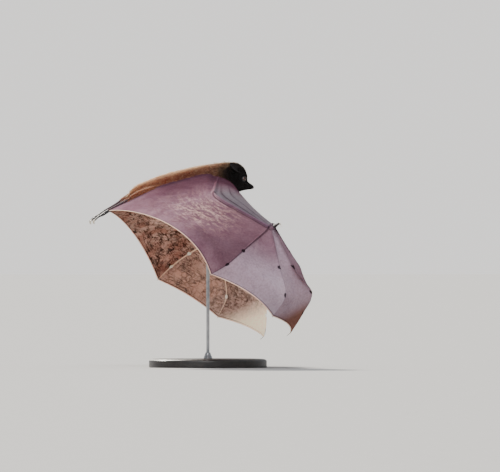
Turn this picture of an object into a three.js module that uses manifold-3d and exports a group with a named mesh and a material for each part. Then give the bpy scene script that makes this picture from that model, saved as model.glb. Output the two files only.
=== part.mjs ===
// A life-size flying fox bat in flight, late in the downstroke, on a plain display stand.
// Millimetres. +X is the way the bat flies, +Y its left, +Z up. The origin is the centre of
// the stand's underside. Inside the bat's own group the origin is midway between the shoulders.

import * as THREE from "three";
import { mergeVertices } from "three/addons/utils/BufferGeometryUtils.js";
import Module from "manifold-3d";

const wasm = await Module();
wasm.setup();

// ---------------------------------------------------------------- driving dimensions

const gap = 0.3; // left between two pieces that touch
const shoulderHeight = 370; // of the shoulders above the floor
const rodBehindShoulders = 17; // the stand's rod, under the body's balance point
const bank = 0.5; // degrees, the left wing lower
const webThickness = 0.7;

// The trunk, cut across from rump to neck: x, its back, its belly, half its width.
const trunkSections = [
  [-173, -24, -30, 3],
  [-168, -18, -36, 10],
  [-158, -11, -42, 17],
  [-138, -3, -46, 24],
  [-112, 7, -49, 31],
  [-79, 18, -50, 36],
  [-44, 28, -48, 38.5],
  [-14, 34, -43, 38.5],
  [10, 38, -34, 35],
  [30, 40, -27, 30],
];
const neckStart = 12; // where the trunk ends and the neck begins
// The neck, whose ruff ends behind the ears and runs forward under the throat.
const neckSections = [
  [0, 36, -36, 35],
  [14, 38.5, -31, 34],
  [26, 39.5, -27, 30],
  [35, 36, -25, 25.5],
  [42, 25, -24, 20],
  [48, 8, -22.5, 15],
  [54, -4, -21, 11],
  [60, -10, -18.5, 7],
  [65, -12.5, -16, 3],
];

// The head, along its own axis from the nose tip: distance, crown, throat, half its width.
const noseTip = [74.6, 0, -10.6];
const headPitch = 36; // degrees, nose down
const headSections = [
  [0, 2.4, -3.4, 2.6],
  [1.5, 3.6, -5.4, 5],
  [5, 3.9, -7.4, 6.6],
  [12, 3.6, -9.4, 7.4],
  [18, 4.6, -11.2, 9.2],
  [24, 10.6, -12.6, 12.8],
  [31, 17, -14, 16.4],
  [40, 22, -15, 19],
  [50, 22.4, -15, 19.8],
  [59, 20, -13, 18.4],
  [66, 15, -9, 14],
  [70, 8, -2, 6],
];
const eye = { behindNose: 27.5, above: 2.2, aside: 10.2, radius: 5.4 };
// An ear: its root on the head, the way it is laid back, and its own sizes.
const ear = {
  root: [47, 12, 23],
  way: [-26, 19, 13],
  across: [0.35, -0.35, 0.87],
  length: 37,
  halfWidth: 9.5,
  thickness: 1.2,
};

// Each bone runs on from the last: its length, then the way it points, in degrees,
// ahead of straight out to the side and below the horizontal.
const bones = {
  humerus: [[112, -15.1, 14.9]],
  forearm: [[167, 39, 22.3]],
  thumb: [
    [18, 12, -8],
    [30, 5, -9],
    [9, 12, 12],
    [6, 20, 62],
  ],
  finger_2: [
    [66, 43, 48],
    [34, 45.5, 50],
    [7, 60, 60],
  ],
  finger_3: [
    [107.6, 27.5, 48.3],
    [75.6, 133.6, 40],
    [54.6, 199, 49],
    [54.6, 201.5, 40],
    [14, 243, 44],
  ],
  finger_4: [
    [108.5, 2.3, 48],
    [60.1, 16.9, 65.3],
    [53.6, 224.2, 53],
  ],
  finger_5: [
    [113.5, -43, 24.7],
    [46.4, -66.6, 35.6],
    [42, -122.6, 27.8],
  ],
};
// The last bones of two fingers of the left hand, which droop a little more.
const leftLastBones = {
  finger_3: [
    [54.6, 182, 55],
    [54.6, 194, 42],
    [15, 250, 50],
  ],
  finger_5: [[45, -120, 37]],
};
// Where each finger leaves the wrist, and its radius from there to its tip.
const fingerRoots = {
  thumb: [5, 2, 4],
  finger_2: [4.5, 1, 0.5],
  finger_3: [1.5, 1.5, -1.5],
  finger_4: [-1.5, 1, -2],
  finger_5: [-5, -0.5, -1],
};
const fingerRadii = {
  thumb: [3.6, 3.2, 2.6, 2, 0.5],
  finger_2: [2.6, 1.7, 1.5, 0.5],
  finger_3: [3, 2.4, 2, 1.2, 0.5],
  finger_4: [2.8, 2.3, 1.7, 0.7],
  finger_5: [3, 2.4, 1.7, 0.7],
};
const shoulder = [0, 30, 0];
const elbowRounding = [26, 34]; // lengths of humerus and forearm taken up by the bend
const upperArmRadii = [16, 14.5, 11, 8.8, 7.8];
const forearmRadii = [7.8, 8.4, 7.2, 5.6, 4.6, 4.6, 6.2, 5.2];

// The leg: hip, knee and ankle, their radii, and the foot with its five hooked claws.
const hip = [-122, 14, -22];
const knee = [-160, 45, -24];
const ankle = [-222, 22, -57];
const thighRadii = [17, 15, 11.5, 8];
const shankRadii = [8, 7, 5, 3.8, 3.6];
const footDroop = 33; // degrees below the horizontal, pointing back
// The sole from heel to toes: distance, its upper side, its lower side, half its width.
const soleSections = [
  [-4, 3, -3, 3],
  [4, 3.4, -3.2, 4.4],
  [12, 3.2, -3, 6.2],
  [19, 2.2, -2.4, 6.6],
];
const toe = { length: 12, claw: 9, spacing: 2.7, spread: 1.5 };
const toeRadii = [2.1, 1.8, 1.6, 1.2, 0.5];

// The wing skin: how its free edges and its middle stand off the straight line or surface.
const flankHeights = [40, 28]; // where it leaves the body: degrees above its side, front and rear
const trailingHandles = [
  [36, 136, 6],
  [-35, 18, 100],
];
const armWebBulge = 14;
const leadingEdgeStart = [31, 22, -4];
const leadingEdgeSlack = [-5, 0, -2];
const foreWebBulge = 7;
const fingerWebs = {
  web_5_4: { from: "finger_5", to: "finger_4", edge: [10, 32, 4], bulge: 12, start: 0.05, columns: 5 },
  web_4_3: { from: "finger_4", to: "finger_3", edge: [13, 4, 1], bulge: 6, start: 0.1, columns: 4 },
};
const webRows = 12; // rows of cells along a finger
const webReach = { finger_3: 0.975, finger_4: 0.99, finger_5: 0.99 }; // how far the skin goes
const frontCorner = 8; // the row of the third finger where the front skin ends
const secondEnds = 0.66; // the share of the front skin that the second finger borders
const tailWeb = { rump: [-160, 5, -33], slack: [12, -5, 2] };

const stand = { baseRadius: 118, baseHeight: 18, rim: 3, rodRadius: 3.2, rodInBody: 32 };
const collar = { radius: 9, height: 12 };

// ---------------------------------------------------------------- materials

const finish = (color, roughness, metalness = 0) =>
  new THREE.MeshStandardMaterial({ color, roughness, metalness });
const headFur = finish(0x1e1410, 0.85);
const mantleFur = finish(0x5b3524, 0.9);
const backFur = finish(0xa8703f, 0.9);
const wingSkin = finish(0x8d7078, 0.6);
const boneSkin = finish(0x6b5058, 0.6);
const bareSkin = finish(0x2a1d1c, 0.55);
const eyeGloss = finish(0x2b1206, 0.1);
const blackWood = finish(0x2a1d15, 0.45);
const steel = finish(0xb9bbbd, 0.3, 1);

// ---------------------------------------------------------------- shaping and joining

const vector = (p) => new THREE.Vector3(...p);
const radians = THREE.MathUtils.degToRad;
const mix = THREE.MathUtils.lerp;
const spline = (points) => new THREE.CatmullRomCurve3(points, false, "catmullrom", 0.5);

// Moves every vertex of a closed three.js geometry to where place() puts it.
function shaped(geometry, place) {
  const at = geometry.getAttribute("position");
  for (let i = 0; i < at.count; i++) {
    const p = place(at.getX(i), at.getY(i), at.getZ(i));
    at.setXYZ(i, p.x, p.y, p.z);
  }
  return geometry;
}

// A closed geometry as a manifold-3d solid.
function solid(geometry) {
  const bare = geometry.clone();
  for (const name of ["normal", "uv"]) bare.deleteAttribute(name);
  const merged = mergeVertices(bare, 1e-3);
  const vertProperties = merged.getAttribute("position").array;
  const triVerts = new Uint32Array(merged.index.array);
  return new wasm.Manifold(new wasm.Mesh({ numProp: 3, vertProperties, triVerts }));
}

// What is left of a solid when the cutters are taken out, without loose crumbs.
function cut(body, ...cutters) {
  const pieces = cutters.reduce((left, cutter) => left.subtract(cutter), body).decompose();
  return pieces.reduce((best, piece) => (piece.volume() > best.volume() ? piece : best));
}

// A manifold-3d solid as a three.js mesh.
function meshOf(name, body, material) {
  const { vertProperties, triVerts } = body.getMesh();
  const geometry = new THREE.BufferGeometry();
  geometry.setAttribute("position", new THREE.BufferAttribute(vertProperties, 3));
  geometry.setIndex(new THREE.BufferAttribute(triVerts, 1));
  geometry.computeVertexNormals();
  return named(name, geometry, material);
}

function named(name, geometry, material) {
  const mesh = new THREE.Mesh(geometry, material);
  mesh.name = name;
  return mesh;
}

// A value read off a list of equally spaced ones, smoothly between them.
function along(values, t) {
  const points = values.map((value, i) => new THREE.Vector2(i, value));
  return new THREE.SplineCurve(points).getPoint(t).y;
}

// A body of oval sections, each a place on the axis, a top, a bottom and half a width.
// out grows it all round, and put(place, across, up) says where a point goes.
function loft(sections, sides, rings, put, out = 0) {
  const [places, tops, bottoms, halves] = [0, 1, 2, 3].map((k) => sections.map((row) => row[k]));
  const barrel = new THREE.CylinderGeometry(1, 1, 1, sides, rings);
  return shaped(barrel, (x, y, z) => {
    const t = y + 0.5;
    const isEnd = t < 0.001 || t > 0.999;
    const place = along(places, t) + (isEnd ? out * Math.sign(y) : 0);
    const [top, bottom] = [along(tops, t) + out, along(bottoms, t) - out];
    return put(place, z * (along(halves, t) + out), (top + bottom) / 2 + (x * (top - bottom)) / 2);
  });
}

// A limb of round sections along a curve, with one section at each of its stations, which
// are shares of the curve's length. Its radii are listed evenly from root to tip.
function limb(curve, radii, sides, stations, out = 0) {
  const rings = stations.length - 1;
  const sideways = new THREE.Vector3();
  const upward = new THREE.Vector3();
  const barrel = new THREE.CylinderGeometry(1, 1, 1, sides, rings);
  return shaped(barrel, (x, y, z) => {
    const ring = Math.round((y + 0.5) * rings);
    const forward = curve.getTangentAt(stations[ring]);
    sideways.set(1, 0.3, 0.2).cross(forward).normalize();
    upward.crossVectors(forward, sideways);
    const radius = along(radii, stations[ring]) + out;
    const beyond = ring === 0 ? -out : ring === rings ? out : 0;
    return curve
      .getPointAt(stations[ring])
      .addScaledVector(forward, beyond)
      .addScaledVector(sideways, z * radius)
      .addScaledVector(upward, x * radius);
  });
}
const even = (count, end = 1) => Array.from({ length: count + 1 }, (_, k) => (k / count) * end);

// The direction square to a surface(u, v).
function squareTo(surface, u, v) {
  const step = 1e-3;
  const du = surface(Math.min(u + step, 1), v).sub(surface(Math.max(u - step, 0), v));
  const dv = surface(u, Math.min(v + step, 1)).sub(surface(u, Math.max(v - step, 0)));
  return du.cross(dv).normalize();
}

// A thin sheet of cells over surface(u, v), half of its thickness on either side. The cells of
// its back are split along the same diagonals as its front's, so that where the sheet twists
// the two faces stay apart.
function sheet(surface, columns, rows, thickness) {
  const slab = new THREE.BoxGeometry(1, 1, 1, columns, rows, 1);
  const back = slab.groups[5];
  const cells = slab.index.array.subarray(back.start, back.start + back.count);
  for (let k = 0; k < cells.length; k += 6) {
    const [a, b, d, , c] = cells.subarray(k, k + 6);
    cells.set([a, b, c, a, c, d], k);
  }
  return shaped(slab, (x, y, z) => {
    const [u, v] = [x + 0.5, y + 0.5];
    return surface(u, v).addScaledVector(squareTo(surface, u, v), z * thickness);
  });
}

// A surface over four edges that meet at their corners: two lie along u, two along v.
function patch(low, high, first, last) {
  const corners = [low(0), low(1), high(0), high(1)];
  return (u, v) =>
    low(u)
      .multiplyScalar(1 - v)
      .addScaledVector(high(u), v)
      .addScaledVector(first(v), 1 - u)
      .addScaledVector(last(v), u)
      .addScaledVector(corners[0], -(1 - u) * (1 - v))
      .addScaledVector(corners[1], -u * (1 - v))
      .addScaledVector(corners[2], -(1 - u) * v)
      .addScaledVector(corners[3], -u * v);
}

// The same surface, standing off its own back by height(u, v).
function raised(surface, height) {
  return (u, v) => surface(u, v).addScaledVector(squareTo(surface, u, v), -height(u, v));
}

// ---------------------------------------------------------------- head, neck and trunk

const bodyPoint = (x, across, up) => vector([x, across, up]);
function headPoint(behind, across, up) {
  const [c, s] = [Math.cos(radians(headPitch)), Math.sin(radians(headPitch))];
  return vector([up * s - behind * c, across, behind * s + up * c]).add(vector(noseTip));
}

const trunkShape = (out) => solid(loft(trunkSections, 16, 11, bodyPoint, out));
const neckShape = (out) => solid(loft(neckSections, 16, 7, bodyPoint, out));
const headPlace = (behind, across, up) => headPoint(behind, -across, up);
const headShape = (out) => solid(loft(headSections, 16, 13, headPlace, out));
function eyeball(side, out) {
  const centre = headPoint(eye.behindNose, side * eye.aside, eye.above);
  return solid(new THREE.SphereGeometry(eye.radius + out, 8, 6).translate(...centre));
}
function rodShape(out) {
  const height = shoulderHeight - stand.rodInBody - stand.baseHeight + out;
  const bar = new THREE.CylinderGeometry(stand.rodRadius + out, stand.rodRadius + out, height, 16);
  return bar.rotateX(Math.PI / 2).translate(0, 0, stand.baseHeight + height / 2);
}
// A block that fills all the body on one side of x.
function blockBeyond(x, side) {
  const size = 400;
  return solid(new THREE.BoxGeometry(size, size, size).translate(x + (side * size) / 2, 0, 0));
}

const grown = { trunk: trunkShape(gap), neck: neckShape(gap), head: headShape(gap) };
const batTurn = new THREE.Matrix4().makeRotationX(radians(-bank));
batTurn.setPosition(rodBehindShoulders, 0, shoulderHeight);
const rodHole = solid(rodShape(gap).applyMatrix4(batTurn.clone().invert()));
const middle = {
  head: [cut(headShape(0), eyeball(1, gap), eyeball(-1, gap)), headFur],
  neck: [cut(neckShape(0), blockBeyond(neckStart + gap, -1), grown.head), mantleFur],
  trunk: [cut(trunkShape(0), blockBeyond(neckStart, 1), rodHole), backFur],
};

// A point just inside the trunk, on the line where the wing skin leaves its side.
function flankPoint(x) {
  const next = trunkSections.findIndex((row) => row[0] > x);
  const [before, after] = [trunkSections[next - 1], trunkSections[next]];
  const t = (x - before[0]) / (after[0] - before[0]);
  const [top, bottom, half] = [1, 2, 3].map((k) => mix(before[k], after[k], t));
  const height = radians(mix(...flankHeights, x / trunkSections[0][0]));
  const inside = 0.92;
  const up = (top + bottom) / 2 + (inside * Math.sin(height) * (top - bottom)) / 2;
  return vector([x, inside * Math.cos(height) * half, up]);
}

// ---------------------------------------------------------------- one side: arm, hand and leg

// The points that a chain of bones reaches, one after another.
function chain(from, steps) {
  const points = [from.clone()];
  for (const [length, ahead, drop] of steps) {
    const level = length * Math.cos(radians(drop));
    const step = [level * Math.sin(radians(ahead)), level * Math.cos(radians(ahead)), 0];
    step[2] = -length * Math.sin(radians(drop));
    points.push(points.at(-1).clone().add(vector(step)));
  }
  return points;
}
const [shoulderAt, elbowAt] = chain(vector(shoulder), bones.humerus);
const wristAt = chain(elbowAt, bones.forearm)[1];
const kneeAt = vector(knee);
const ankleAt = vector(ankle);

// A finger's line starts at its root, beside the wrist's middle, and goes on by its joints.
function fingerLine(name, isLeft) {
  const last = (isLeft && leftLastBones[name]) || [];
  const steps = [...bones[name].slice(0, bones[name].length - last.length), ...last];
  const joints = chain(wristAt, steps).slice(1);
  return spline([wristAt.clone().add(vector(fingerRoots[name])), ...joints]);
}
// The stations of a finger fall on the rows of the wing skin beside it.
function fingerStations(name) {
  if (!webReach[name]) return even(name === "thumb" ? 7 : 6);
  return [...even(webRows, webReach[name]), 1];
}

const armLimbs = {
  upper_arm: (out) =>
    limb(new THREE.LineCurve3(vector([-1, 14, 3]), elbowAt), upperArmRadii, 8, even(4), out),
  forearm: (out) =>
    limb(new THREE.LineCurve3(elbowAt, wristAt), forearmRadii, 8, even(7), out),
  thigh: (out) => limb(new THREE.LineCurve3(vector(hip), kneeAt), thighRadii, 8, even(3), out),
  shank: (out) => limb(new THREE.LineCurve3(kneeAt, ankleAt), shankRadii, 8, even(4), out),
};

// The foot: a flat sole, and five toes spread like a fan that end in hooked claws.
function footShape(out) {
  const [c, s] = [Math.cos(radians(footDroop)), Math.sin(radians(footDroop))];
  const place = (reach, across, up) =>
    vector([-reach * c - up * s, across, up * c - reach * s]).add(ankleAt);
  const soleShape = loft(soleSections, 8, 4, (reach, across, up) => place(reach, -across, up), out);
  const root = soleSections.at(-1)[0];
  const knuckle = root + toe.length;
  return [-2, -1, 0, 1, 2].reduce((made, k) => {
    const aside = (share) => k * (toe.spacing + share * toe.spread);
    const line = spline([
      place(root - 4, aside(0), 0),
      place(root + toe.length / 2, aside(0.6), 1.2),
      place(knuckle, aside(1), -0.4),
      place(knuckle + toe.claw * 0.62, aside(1.3), -2),
      place(knuckle + toe.claw * 0.85, aside(1.4), -6.5),
    ]);
    return made.add(solid(limb(line, toeRadii, 4, even(4), out)));
  }, solid(soleShape));
}

// ---------------------------------------------------------------- one side: the wing skin

const armLine = (() => {
  const above = elbowAt.clone().lerp(shoulderAt, elbowRounding[0] / shoulderAt.distanceTo(elbowAt));
  const below = elbowAt.clone().lerp(wristAt, elbowRounding[1] / elbowAt.distanceTo(wristAt));
  const path = new THREE.CurvePath();
  path.add(new THREE.LineCurve3(shoulderAt, above));
  path.add(new THREE.QuadraticBezierCurve3(above, elbowAt, below));
  path.add(new THREE.LineCurve3(below, wristAt));
  return path;
})();

// The skin's edge beside a finger, clear of the bone, on the side that faces the point.
function beside(finger, share, point) {
  const centre = finger.line.getPointAt(share);
  const way = point.clone().sub(centre).normalize();
  const slant = way.clone().cross(finger.line.getTangentAt(share)).length();
  const radius = along(fingerRadii[finger.name], share);
  return centre.addScaledVector(way, (radius + 2.3 * gap) / slant);
}
const shareAt = (finger, v) => v * webReach[finger.name];

function armWebSurface(finger) {
  const flank = spline([
    shoulderAt,
    ...[-24, -60, -100, -130].map(flankPoint),
    kneeAt,
    kneeAt.clone().lerp(ankleAt, 0.5),
    ankleAt,
  ]);
  const skinEnd = (v) => beside(finger, shareAt(finger, v), flank.getPoint(v));
  const tip = skinEnd(1);
  const [leaving, arriving] = trailingHandles.map(vector);
  const trailing = new THREE.CubicBezierCurve3(
    ankleAt,
    ankleAt.clone().add(leaving),
    tip.clone().add(arriving),
    tip,
  );
  const arm = (u) => armLine.getPoint(u).addScaledVector(skinEnd(0).sub(armLine.getPoint(1)), u);
  const stretched = patch(arm, (u) => trailing.getPoint(u), (v) => flank.getPoint(v), skinEnd);
  return raised(stretched, (u, v) => armWebBulge * 16 * u * (1 - u) * v * (1 - v));
}

function foreWebSurface(thumb) {
  const start = vector(leadingEdgeStart);
  const end = thumb.line.getPointAt(0.1);
  const middlePoint = start.clone().lerp(end, 0.5).addScaledVector(vector(leadingEdgeSlack), 2);
  const leading = new THREE.QuadraticBezierCurve3(start, middlePoint, end);
  return (u, v) => {
    const rise = foreWebBulge * 4 * v * (1 - v) * Math.sin(Math.PI * Math.min(u + 0.1, 1));
    return armLine.getPoint(u).lerp(leading.getPoint(u), v).add(vector([0, 0, rise]));
  };
}

// The skin between two fingers, billowed towards its middle and along its free edge.
function fingerWebSurface(from, to, { edge, bulge, start }) {
  const taut = (u, row) => {
    const v = Math.max(row, start);
    const [a, b] = [from, to].map((finger) => finger.line.getPointAt(shareAt(finger, v)));
    const [near, far] = [beside(from, shareAt(from, v), b), beside(to, shareAt(to, v), a)];
    return near.lerp(far, u).addScaledVector(vector(edge), 4 * u * (1 - u) * v ** 2);
  };
  return raised(taut, (u, v) => bulge * 4 * u * (1 - u) * Math.sin(Math.PI * v));
}

// The narrow skin in front, from the third finger to the second and on to its own corner.
function frontWebSurface(third, second) {
  const cornerShare = (webReach.finger_3 * frontCorner) / webRows;
  const corner = third.line.getPointAt(cornerShare);
  const secondTip = second.line.getPointAt(1);
  const outer = (v) =>
    v < secondEnds
      ? second.line.getPointAt(v / secondEnds)
      : secondTip.clone().lerp(corner, (v - secondEnds) / (1 - secondEnds));
  return (u, v) => third.line.getPointAt(v * cornerShare).lerp(outer(v), u);
}

function tailWebSurface(u, v) {
  const leg = spline([vector(hip), kneeAt, kneeAt.clone().lerp(ankleAt, 0.5), ankleAt]);
  const rump = vector(tailWeb.rump);
  const middlePoint = rump.clone().lerp(ankleAt, 0.5).addScaledVector(vector(tailWeb.slack), 2);
  const inner = new THREE.QuadraticBezierCurve3(rump, middlePoint, ankleAt);
  return leg.getPoint(mix(0.3, 1, v)).lerp(inner.getPoint(v), u);
}

// ---------------------------------------------------------------- one side: the ear

// A pointed leaf, rolled into a cup at its root and opening out towards its tip.
function earSurface(u, v) {
  const way = vector(ear.way).normalize();
  const open = vector(ear.across).cross(way).normalize();
  const across = way.clone().cross(open);
  const half = ear.halfWidth * Math.sin(Math.PI * mix(0.24, 0.985, v)) ** 0.8;
  const roll = mix(1.4, 0.8, v);
  const turn = (2 * u - 1) * roll;
  return vector(ear.root)
    .addScaledVector(way, ear.length * v)
    .addScaledVector(across, (half / roll) * Math.sin(turn))
    .addScaledVector(open, -(half / roll) * (1 - Math.cos(turn)) - 3 * v * v);
}

// ---------------------------------------------------------------- one side, whole

const web = (surface, columns, rows) => solid(sheet(surface, columns, rows, webThickness));

function halfBat(isLeft) {
  const finger = {};
  const big = { ...grown, foot: footShape(gap) };
  for (const name of Object.keys(armLimbs)) big[name] = solid(armLimbs[name](gap));
  for (const name of Object.keys(fingerRoots)) {
    const line = fingerLine(name, isLeft);
    const sides = name === "thumb" ? 6 : 5;
    const shape = (out) => solid(limb(line, fingerRadii[name], sides, fingerStations(name), out));
    finger[name] = { name, line, shape };
    big[name] = shape(gap);
  }
  const bone = (name, ...others) => cut(finger[name].shape(0), ...others.map((other) => big[other]));
  const part = (name, ...others) => cut(solid(armLimbs[name](0)), ...others.map((other) => big[other]));
  const skin = (body, ...others) => cut(body, ...others.map((other) => big[other]));

  const pieces = {
    ear: [cut(solid(sheet(earSurface, 4, 5, ear.thickness)), grown.head, grown.neck), bareSkin],
    eye: [eyeball(1, 0), eyeGloss],
    upper_arm: [part("upper_arm", "trunk", "neck", "forearm"), mantleFur],
    forearm: [solid(armLimbs.forearm(0)), boneSkin],
    finger_3: [bone("finger_3", "forearm"), boneSkin],
    finger_4: [bone("finger_4", "forearm", "finger_3"), boneSkin],
    finger_5: [bone("finger_5", "forearm", "finger_4"), boneSkin],
    finger_2: [bone("finger_2", "forearm", "finger_3", "finger_4"), boneSkin],
    thumb: [bone("thumb", "forearm", "finger_2", "finger_3", "finger_4"), bareSkin],
    thigh: [part("thigh", "trunk", "shank"), backFur],
    shank: [solid(armLimbs.shank(0)), mantleFur],
    foot: [skin(footShape(0), "shank"), bareSkin],
  };
  const armWeb = web(armWebSurface(finger.finger_5), 8, webRows);
  const armCutters = ["trunk", "neck", "upper_arm", "forearm", "thigh", "shank", "foot"];
  pieces.arm_web = [skin(armWeb, ...armCutters), wingSkin];
  const foreCutters = ["trunk", "neck", "upper_arm", "forearm", "thumb", "finger_2", "finger_3"];
  pieces.fore_web = [skin(web(foreWebSurface(finger.thumb), 8, 2), ...foreCutters), wingSkin];
  for (const [name, sizes] of Object.entries(fingerWebs)) {
    const surface = fingerWebSurface(finger[sizes.from], finger[sizes.to], sizes);
    pieces[name] = [web(surface, sizes.columns, webRows), wingSkin];
  }
  const frontWeb = web(frontWebSurface(finger.finger_3, finger.finger_2), 1, frontCorner);
  pieces.web_3_2 = [skin(frontWeb, "forearm", "thumb", "finger_2", "finger_3"), wingSkin];
  pieces.tail_web = [skin(web(tailWebSurface, 2, 6), "trunk", "thigh", "shank", "foot"), wingSkin];
  return pieces;
}

// ---------------------------------------------------------------- the whole

const bat = new THREE.Group();
bat.applyMatrix4(batTurn);
for (const [name, [body, material]] of Object.entries(middle)) bat.add(meshOf(name, body, material));
for (const side of ["left", "right"]) {
  const half = new THREE.Group();
  half.scale.y = side === "left" ? 1 : -1;
  for (const [name, [body, material]] of Object.entries(halfBat(side === "left")))
    half.add(meshOf(`${name}_${side}`, body, material));
  bat.add(half);
}

// A solid turned about the upright axis from an outline of radii and heights.
function turned(outline, sides) {
  const points = outline.map(([radius, height]) => new THREE.Vector2(radius, height));
  return new THREE.LatheGeometry(points, sides).rotateX(Math.PI / 2);
}
const { baseRadius, baseHeight, rim, rodRadius } = stand;
const baseOutline = [
  [0, 0],
  [baseRadius, 0],
  [baseRadius, baseHeight - rim],
  [baseRadius - rim, baseHeight - gap],
  [0, baseHeight - gap],
];
const collarOutline = [
  [rodRadius + gap, baseHeight],
  [collar.radius, baseHeight],
  [collar.radius, baseHeight + collar.height / 3],
  [rodRadius + 2, baseHeight + collar.height],
  [rodRadius + gap, baseHeight + collar.height],
  [rodRadius + gap, baseHeight],
];
const display = new THREE.Group();
display.add(
  named("stand_base", turned(baseOutline, 32), blackWood),
  named("stand_collar", turned(collarOutline, 16), steel),
  named("stand_rod", rodShape(0), steel),
);

const flyingFox = new THREE.Group();
flyingFox.add(bat, display);
export default flyingFox;
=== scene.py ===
import bmesh
import bpy
import numpy as np
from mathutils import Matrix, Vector


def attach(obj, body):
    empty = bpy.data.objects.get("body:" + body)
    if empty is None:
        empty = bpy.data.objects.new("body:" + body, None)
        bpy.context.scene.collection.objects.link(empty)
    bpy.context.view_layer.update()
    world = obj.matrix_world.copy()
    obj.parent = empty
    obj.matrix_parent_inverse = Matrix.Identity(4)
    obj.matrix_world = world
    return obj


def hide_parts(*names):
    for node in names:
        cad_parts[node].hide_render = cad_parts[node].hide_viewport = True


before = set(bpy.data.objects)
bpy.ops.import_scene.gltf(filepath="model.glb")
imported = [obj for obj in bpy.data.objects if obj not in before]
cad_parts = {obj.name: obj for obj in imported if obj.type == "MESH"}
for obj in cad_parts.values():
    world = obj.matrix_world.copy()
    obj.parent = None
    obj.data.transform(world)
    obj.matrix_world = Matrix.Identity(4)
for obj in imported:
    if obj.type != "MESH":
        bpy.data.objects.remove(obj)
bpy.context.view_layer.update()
chance = np.random.default_rng(11)
print("the packed model is loaded")

mm = 0.001
bat = {"shoulderHeight": 370, "rodBehindShoulders": 17, "bank": 0.5, "headPitch": 36}
noseTip = np.array([74.6, 0, -10.6])


# vectors divided by their own length
def unit(v):
    return v / np.maximum(np.linalg.norm(v, axis=-1, keepdims=True), 1e-9)


# the way from a to b by a share t
def mix(a, b, t):
    return a + (b - a) * t


# 0 up to start, 1 from end on, and an S between them
def fade(start, end, x):
    t = np.clip((x - start) / (end - start), 0, 1)
    return t * t * (3 - 2 * t)


# a bell, 1 where x is 0
def bell(x, width):
    return np.exp(-((x / width) ** 2))


# mirrored for the right side, banked about x, lifted to the shoulders' height, in metres
def placed(points, side=1):
    turn = np.radians(-bat["bank"])
    x, y, z = np.moveaxis(np.asarray(points, float), -1, 0)
    y = y * side
    return mm * np.stack(
        [
            x + bat["rodBehindShoulders"],
            y * np.cos(turn) - z * np.sin(turn),
            y * np.sin(turn) + z * np.cos(turn) + bat["shoulderHeight"],
        ],
        -1,
    )


# a smooth line through points: between two of them a cubic whose slope at each point is half
# the step between its neighbours; t runs from 0 at the first point to 1 at the last
def smoothLine(points, t):
    points = np.asarray(points, float)
    ends = [2 * points[0] - points[1]], [2 * points[-1] - points[-2]]
    p = np.vstack([ends[0], points, ends[1]])
    spot = np.clip(t, 0, 1) * (len(points) - 1)
    k = np.minimum(spot.astype(int), len(points) - 2)
    f = (spot - k)[:, None]
    before, start, end, after = (p[k + i] for i in range(4))
    m, n = (end - before) / 2, (after - start) / 2
    return (
        start
        + m * f
        + (3 * (end - start) - 2 * m - n) * f**2
        + (2 * (start - end) + m + n) * f**3
    )


# points of a line with each one's share of the whole length
def measured(points):
    steps = np.linalg.norm(np.diff(points, axis=0), axis=1)
    share = np.concatenate([[0], np.cumsum(steps)])
    return {"points": points, "share": share / share[-1], "length": share[-1]}


# the point at each share of a measured line, read off between its points
def onLine(line, share):
    return np.stack([np.interp(share, line["share"], c) for c in line["points"].T], -1)


# the heading there: from a step behind a share to a step ahead of it
def wayAlong(line, share, step=0.006):
    ahead, behind = np.minimum(share + step, 1), np.maximum(share - step, 0)
    return unit(onLine(line, ahead) - onLine(line, behind))


# the points that a chain of bones reaches; each bone has a length, then degrees ahead of
# straight out to the side, and degrees below the horizontal
def chain(start, bones):
    length, ahead, drop = np.array(bones, float).T
    ahead, drop = np.radians(ahead), np.radians(drop)
    level = length * np.cos(drop)
    steps = np.stack([level * np.sin(ahead), level * np.cos(ahead), -length * np.sin(drop)], 1)
    return np.vstack([start, start + np.cumsum(steps, 0)])


# evenly spaced values read off at t, from 0 at the first to 1 at the last
def along(values, t):
    return np.interp(t, np.linspace(0, 1, len(values)), values)


# one part of a piece: points in metres, faces, one number per point for each mask, and a flat
# map. A grid's faces turn so that their normals point away from the middle of its rows.
def gridPart(points, closedAcross=True, flip=None, flat=None, **masks):
    rows, columns = points.shape[:2]
    index = np.arange(rows * columns).reshape(rows, columns)
    beside = np.roll(index, -1, 1) if closedAcross else index[:, 1:]
    here = index if closedAcross else index[:, :-1]
    quads = np.stack([here[:-1], beside[:-1], beside[1:], here[1:]], -1).reshape(-1, 4)
    normals = gridNormals(points, closedAcross)
    if flip is None:
        middle = points.mean(1, keepdims=True)
        flip = (normals * (points - middle)).sum() < 0
    if flip:
        quads, normals = quads[:, ::-1], -normals
    masks = {k: np.broadcast_to(v, (rows, columns)).ravel() for k, v in masks.items()}
    return {
        "points": points.reshape(-1, 3),
        "faces": [quads],
        "masks": masks,
        "flat": None if flat is None else flat.reshape(-1, 2),
        "normals": normals,
    }


# square to both of a grid's own directions: along its columns' step, crossed with its rows'
def gridNormals(points, closedAcross=True):
    if closedAcross:
        across = np.roll(points, -1, 1) - np.roll(points, 1, 1)
    else:
        across = np.gradient(points, axis=1)
    return unit(np.cross(across, np.gradient(points, axis=0)))


# parts put end to end; a part that lacks a mask has 0 for it, one that lacks a flat map has 0, 0
def joined(parts):
    count, faces = 0, {}
    for part in parts:
        for block in part["faces"]:
            faces.setdefault(block.shape[1], []).append(block + count)
        count += len(part["points"])
    names = sorted({k for part in parts for k in part["masks"]})
    masks = {
        k: np.concatenate([p["masks"].get(k, np.zeros(len(p["points"]))) for p in parts])
        for k in names
    }
    flat = None
    if any(p["flat"] is not None for p in parts):
        blank = [np.zeros((len(p["points"]), 2)) for p in parts]
        flat = np.vstack([b if p["flat"] is None else p["flat"] for p, b in zip(parts, blank)])
    return {
        "points": np.vstack([p["points"] for p in parts]),
        "faces": [np.vstack(b) for b in faces.values()],
        "masks": masks,
        "flat": flat,
    }


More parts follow.
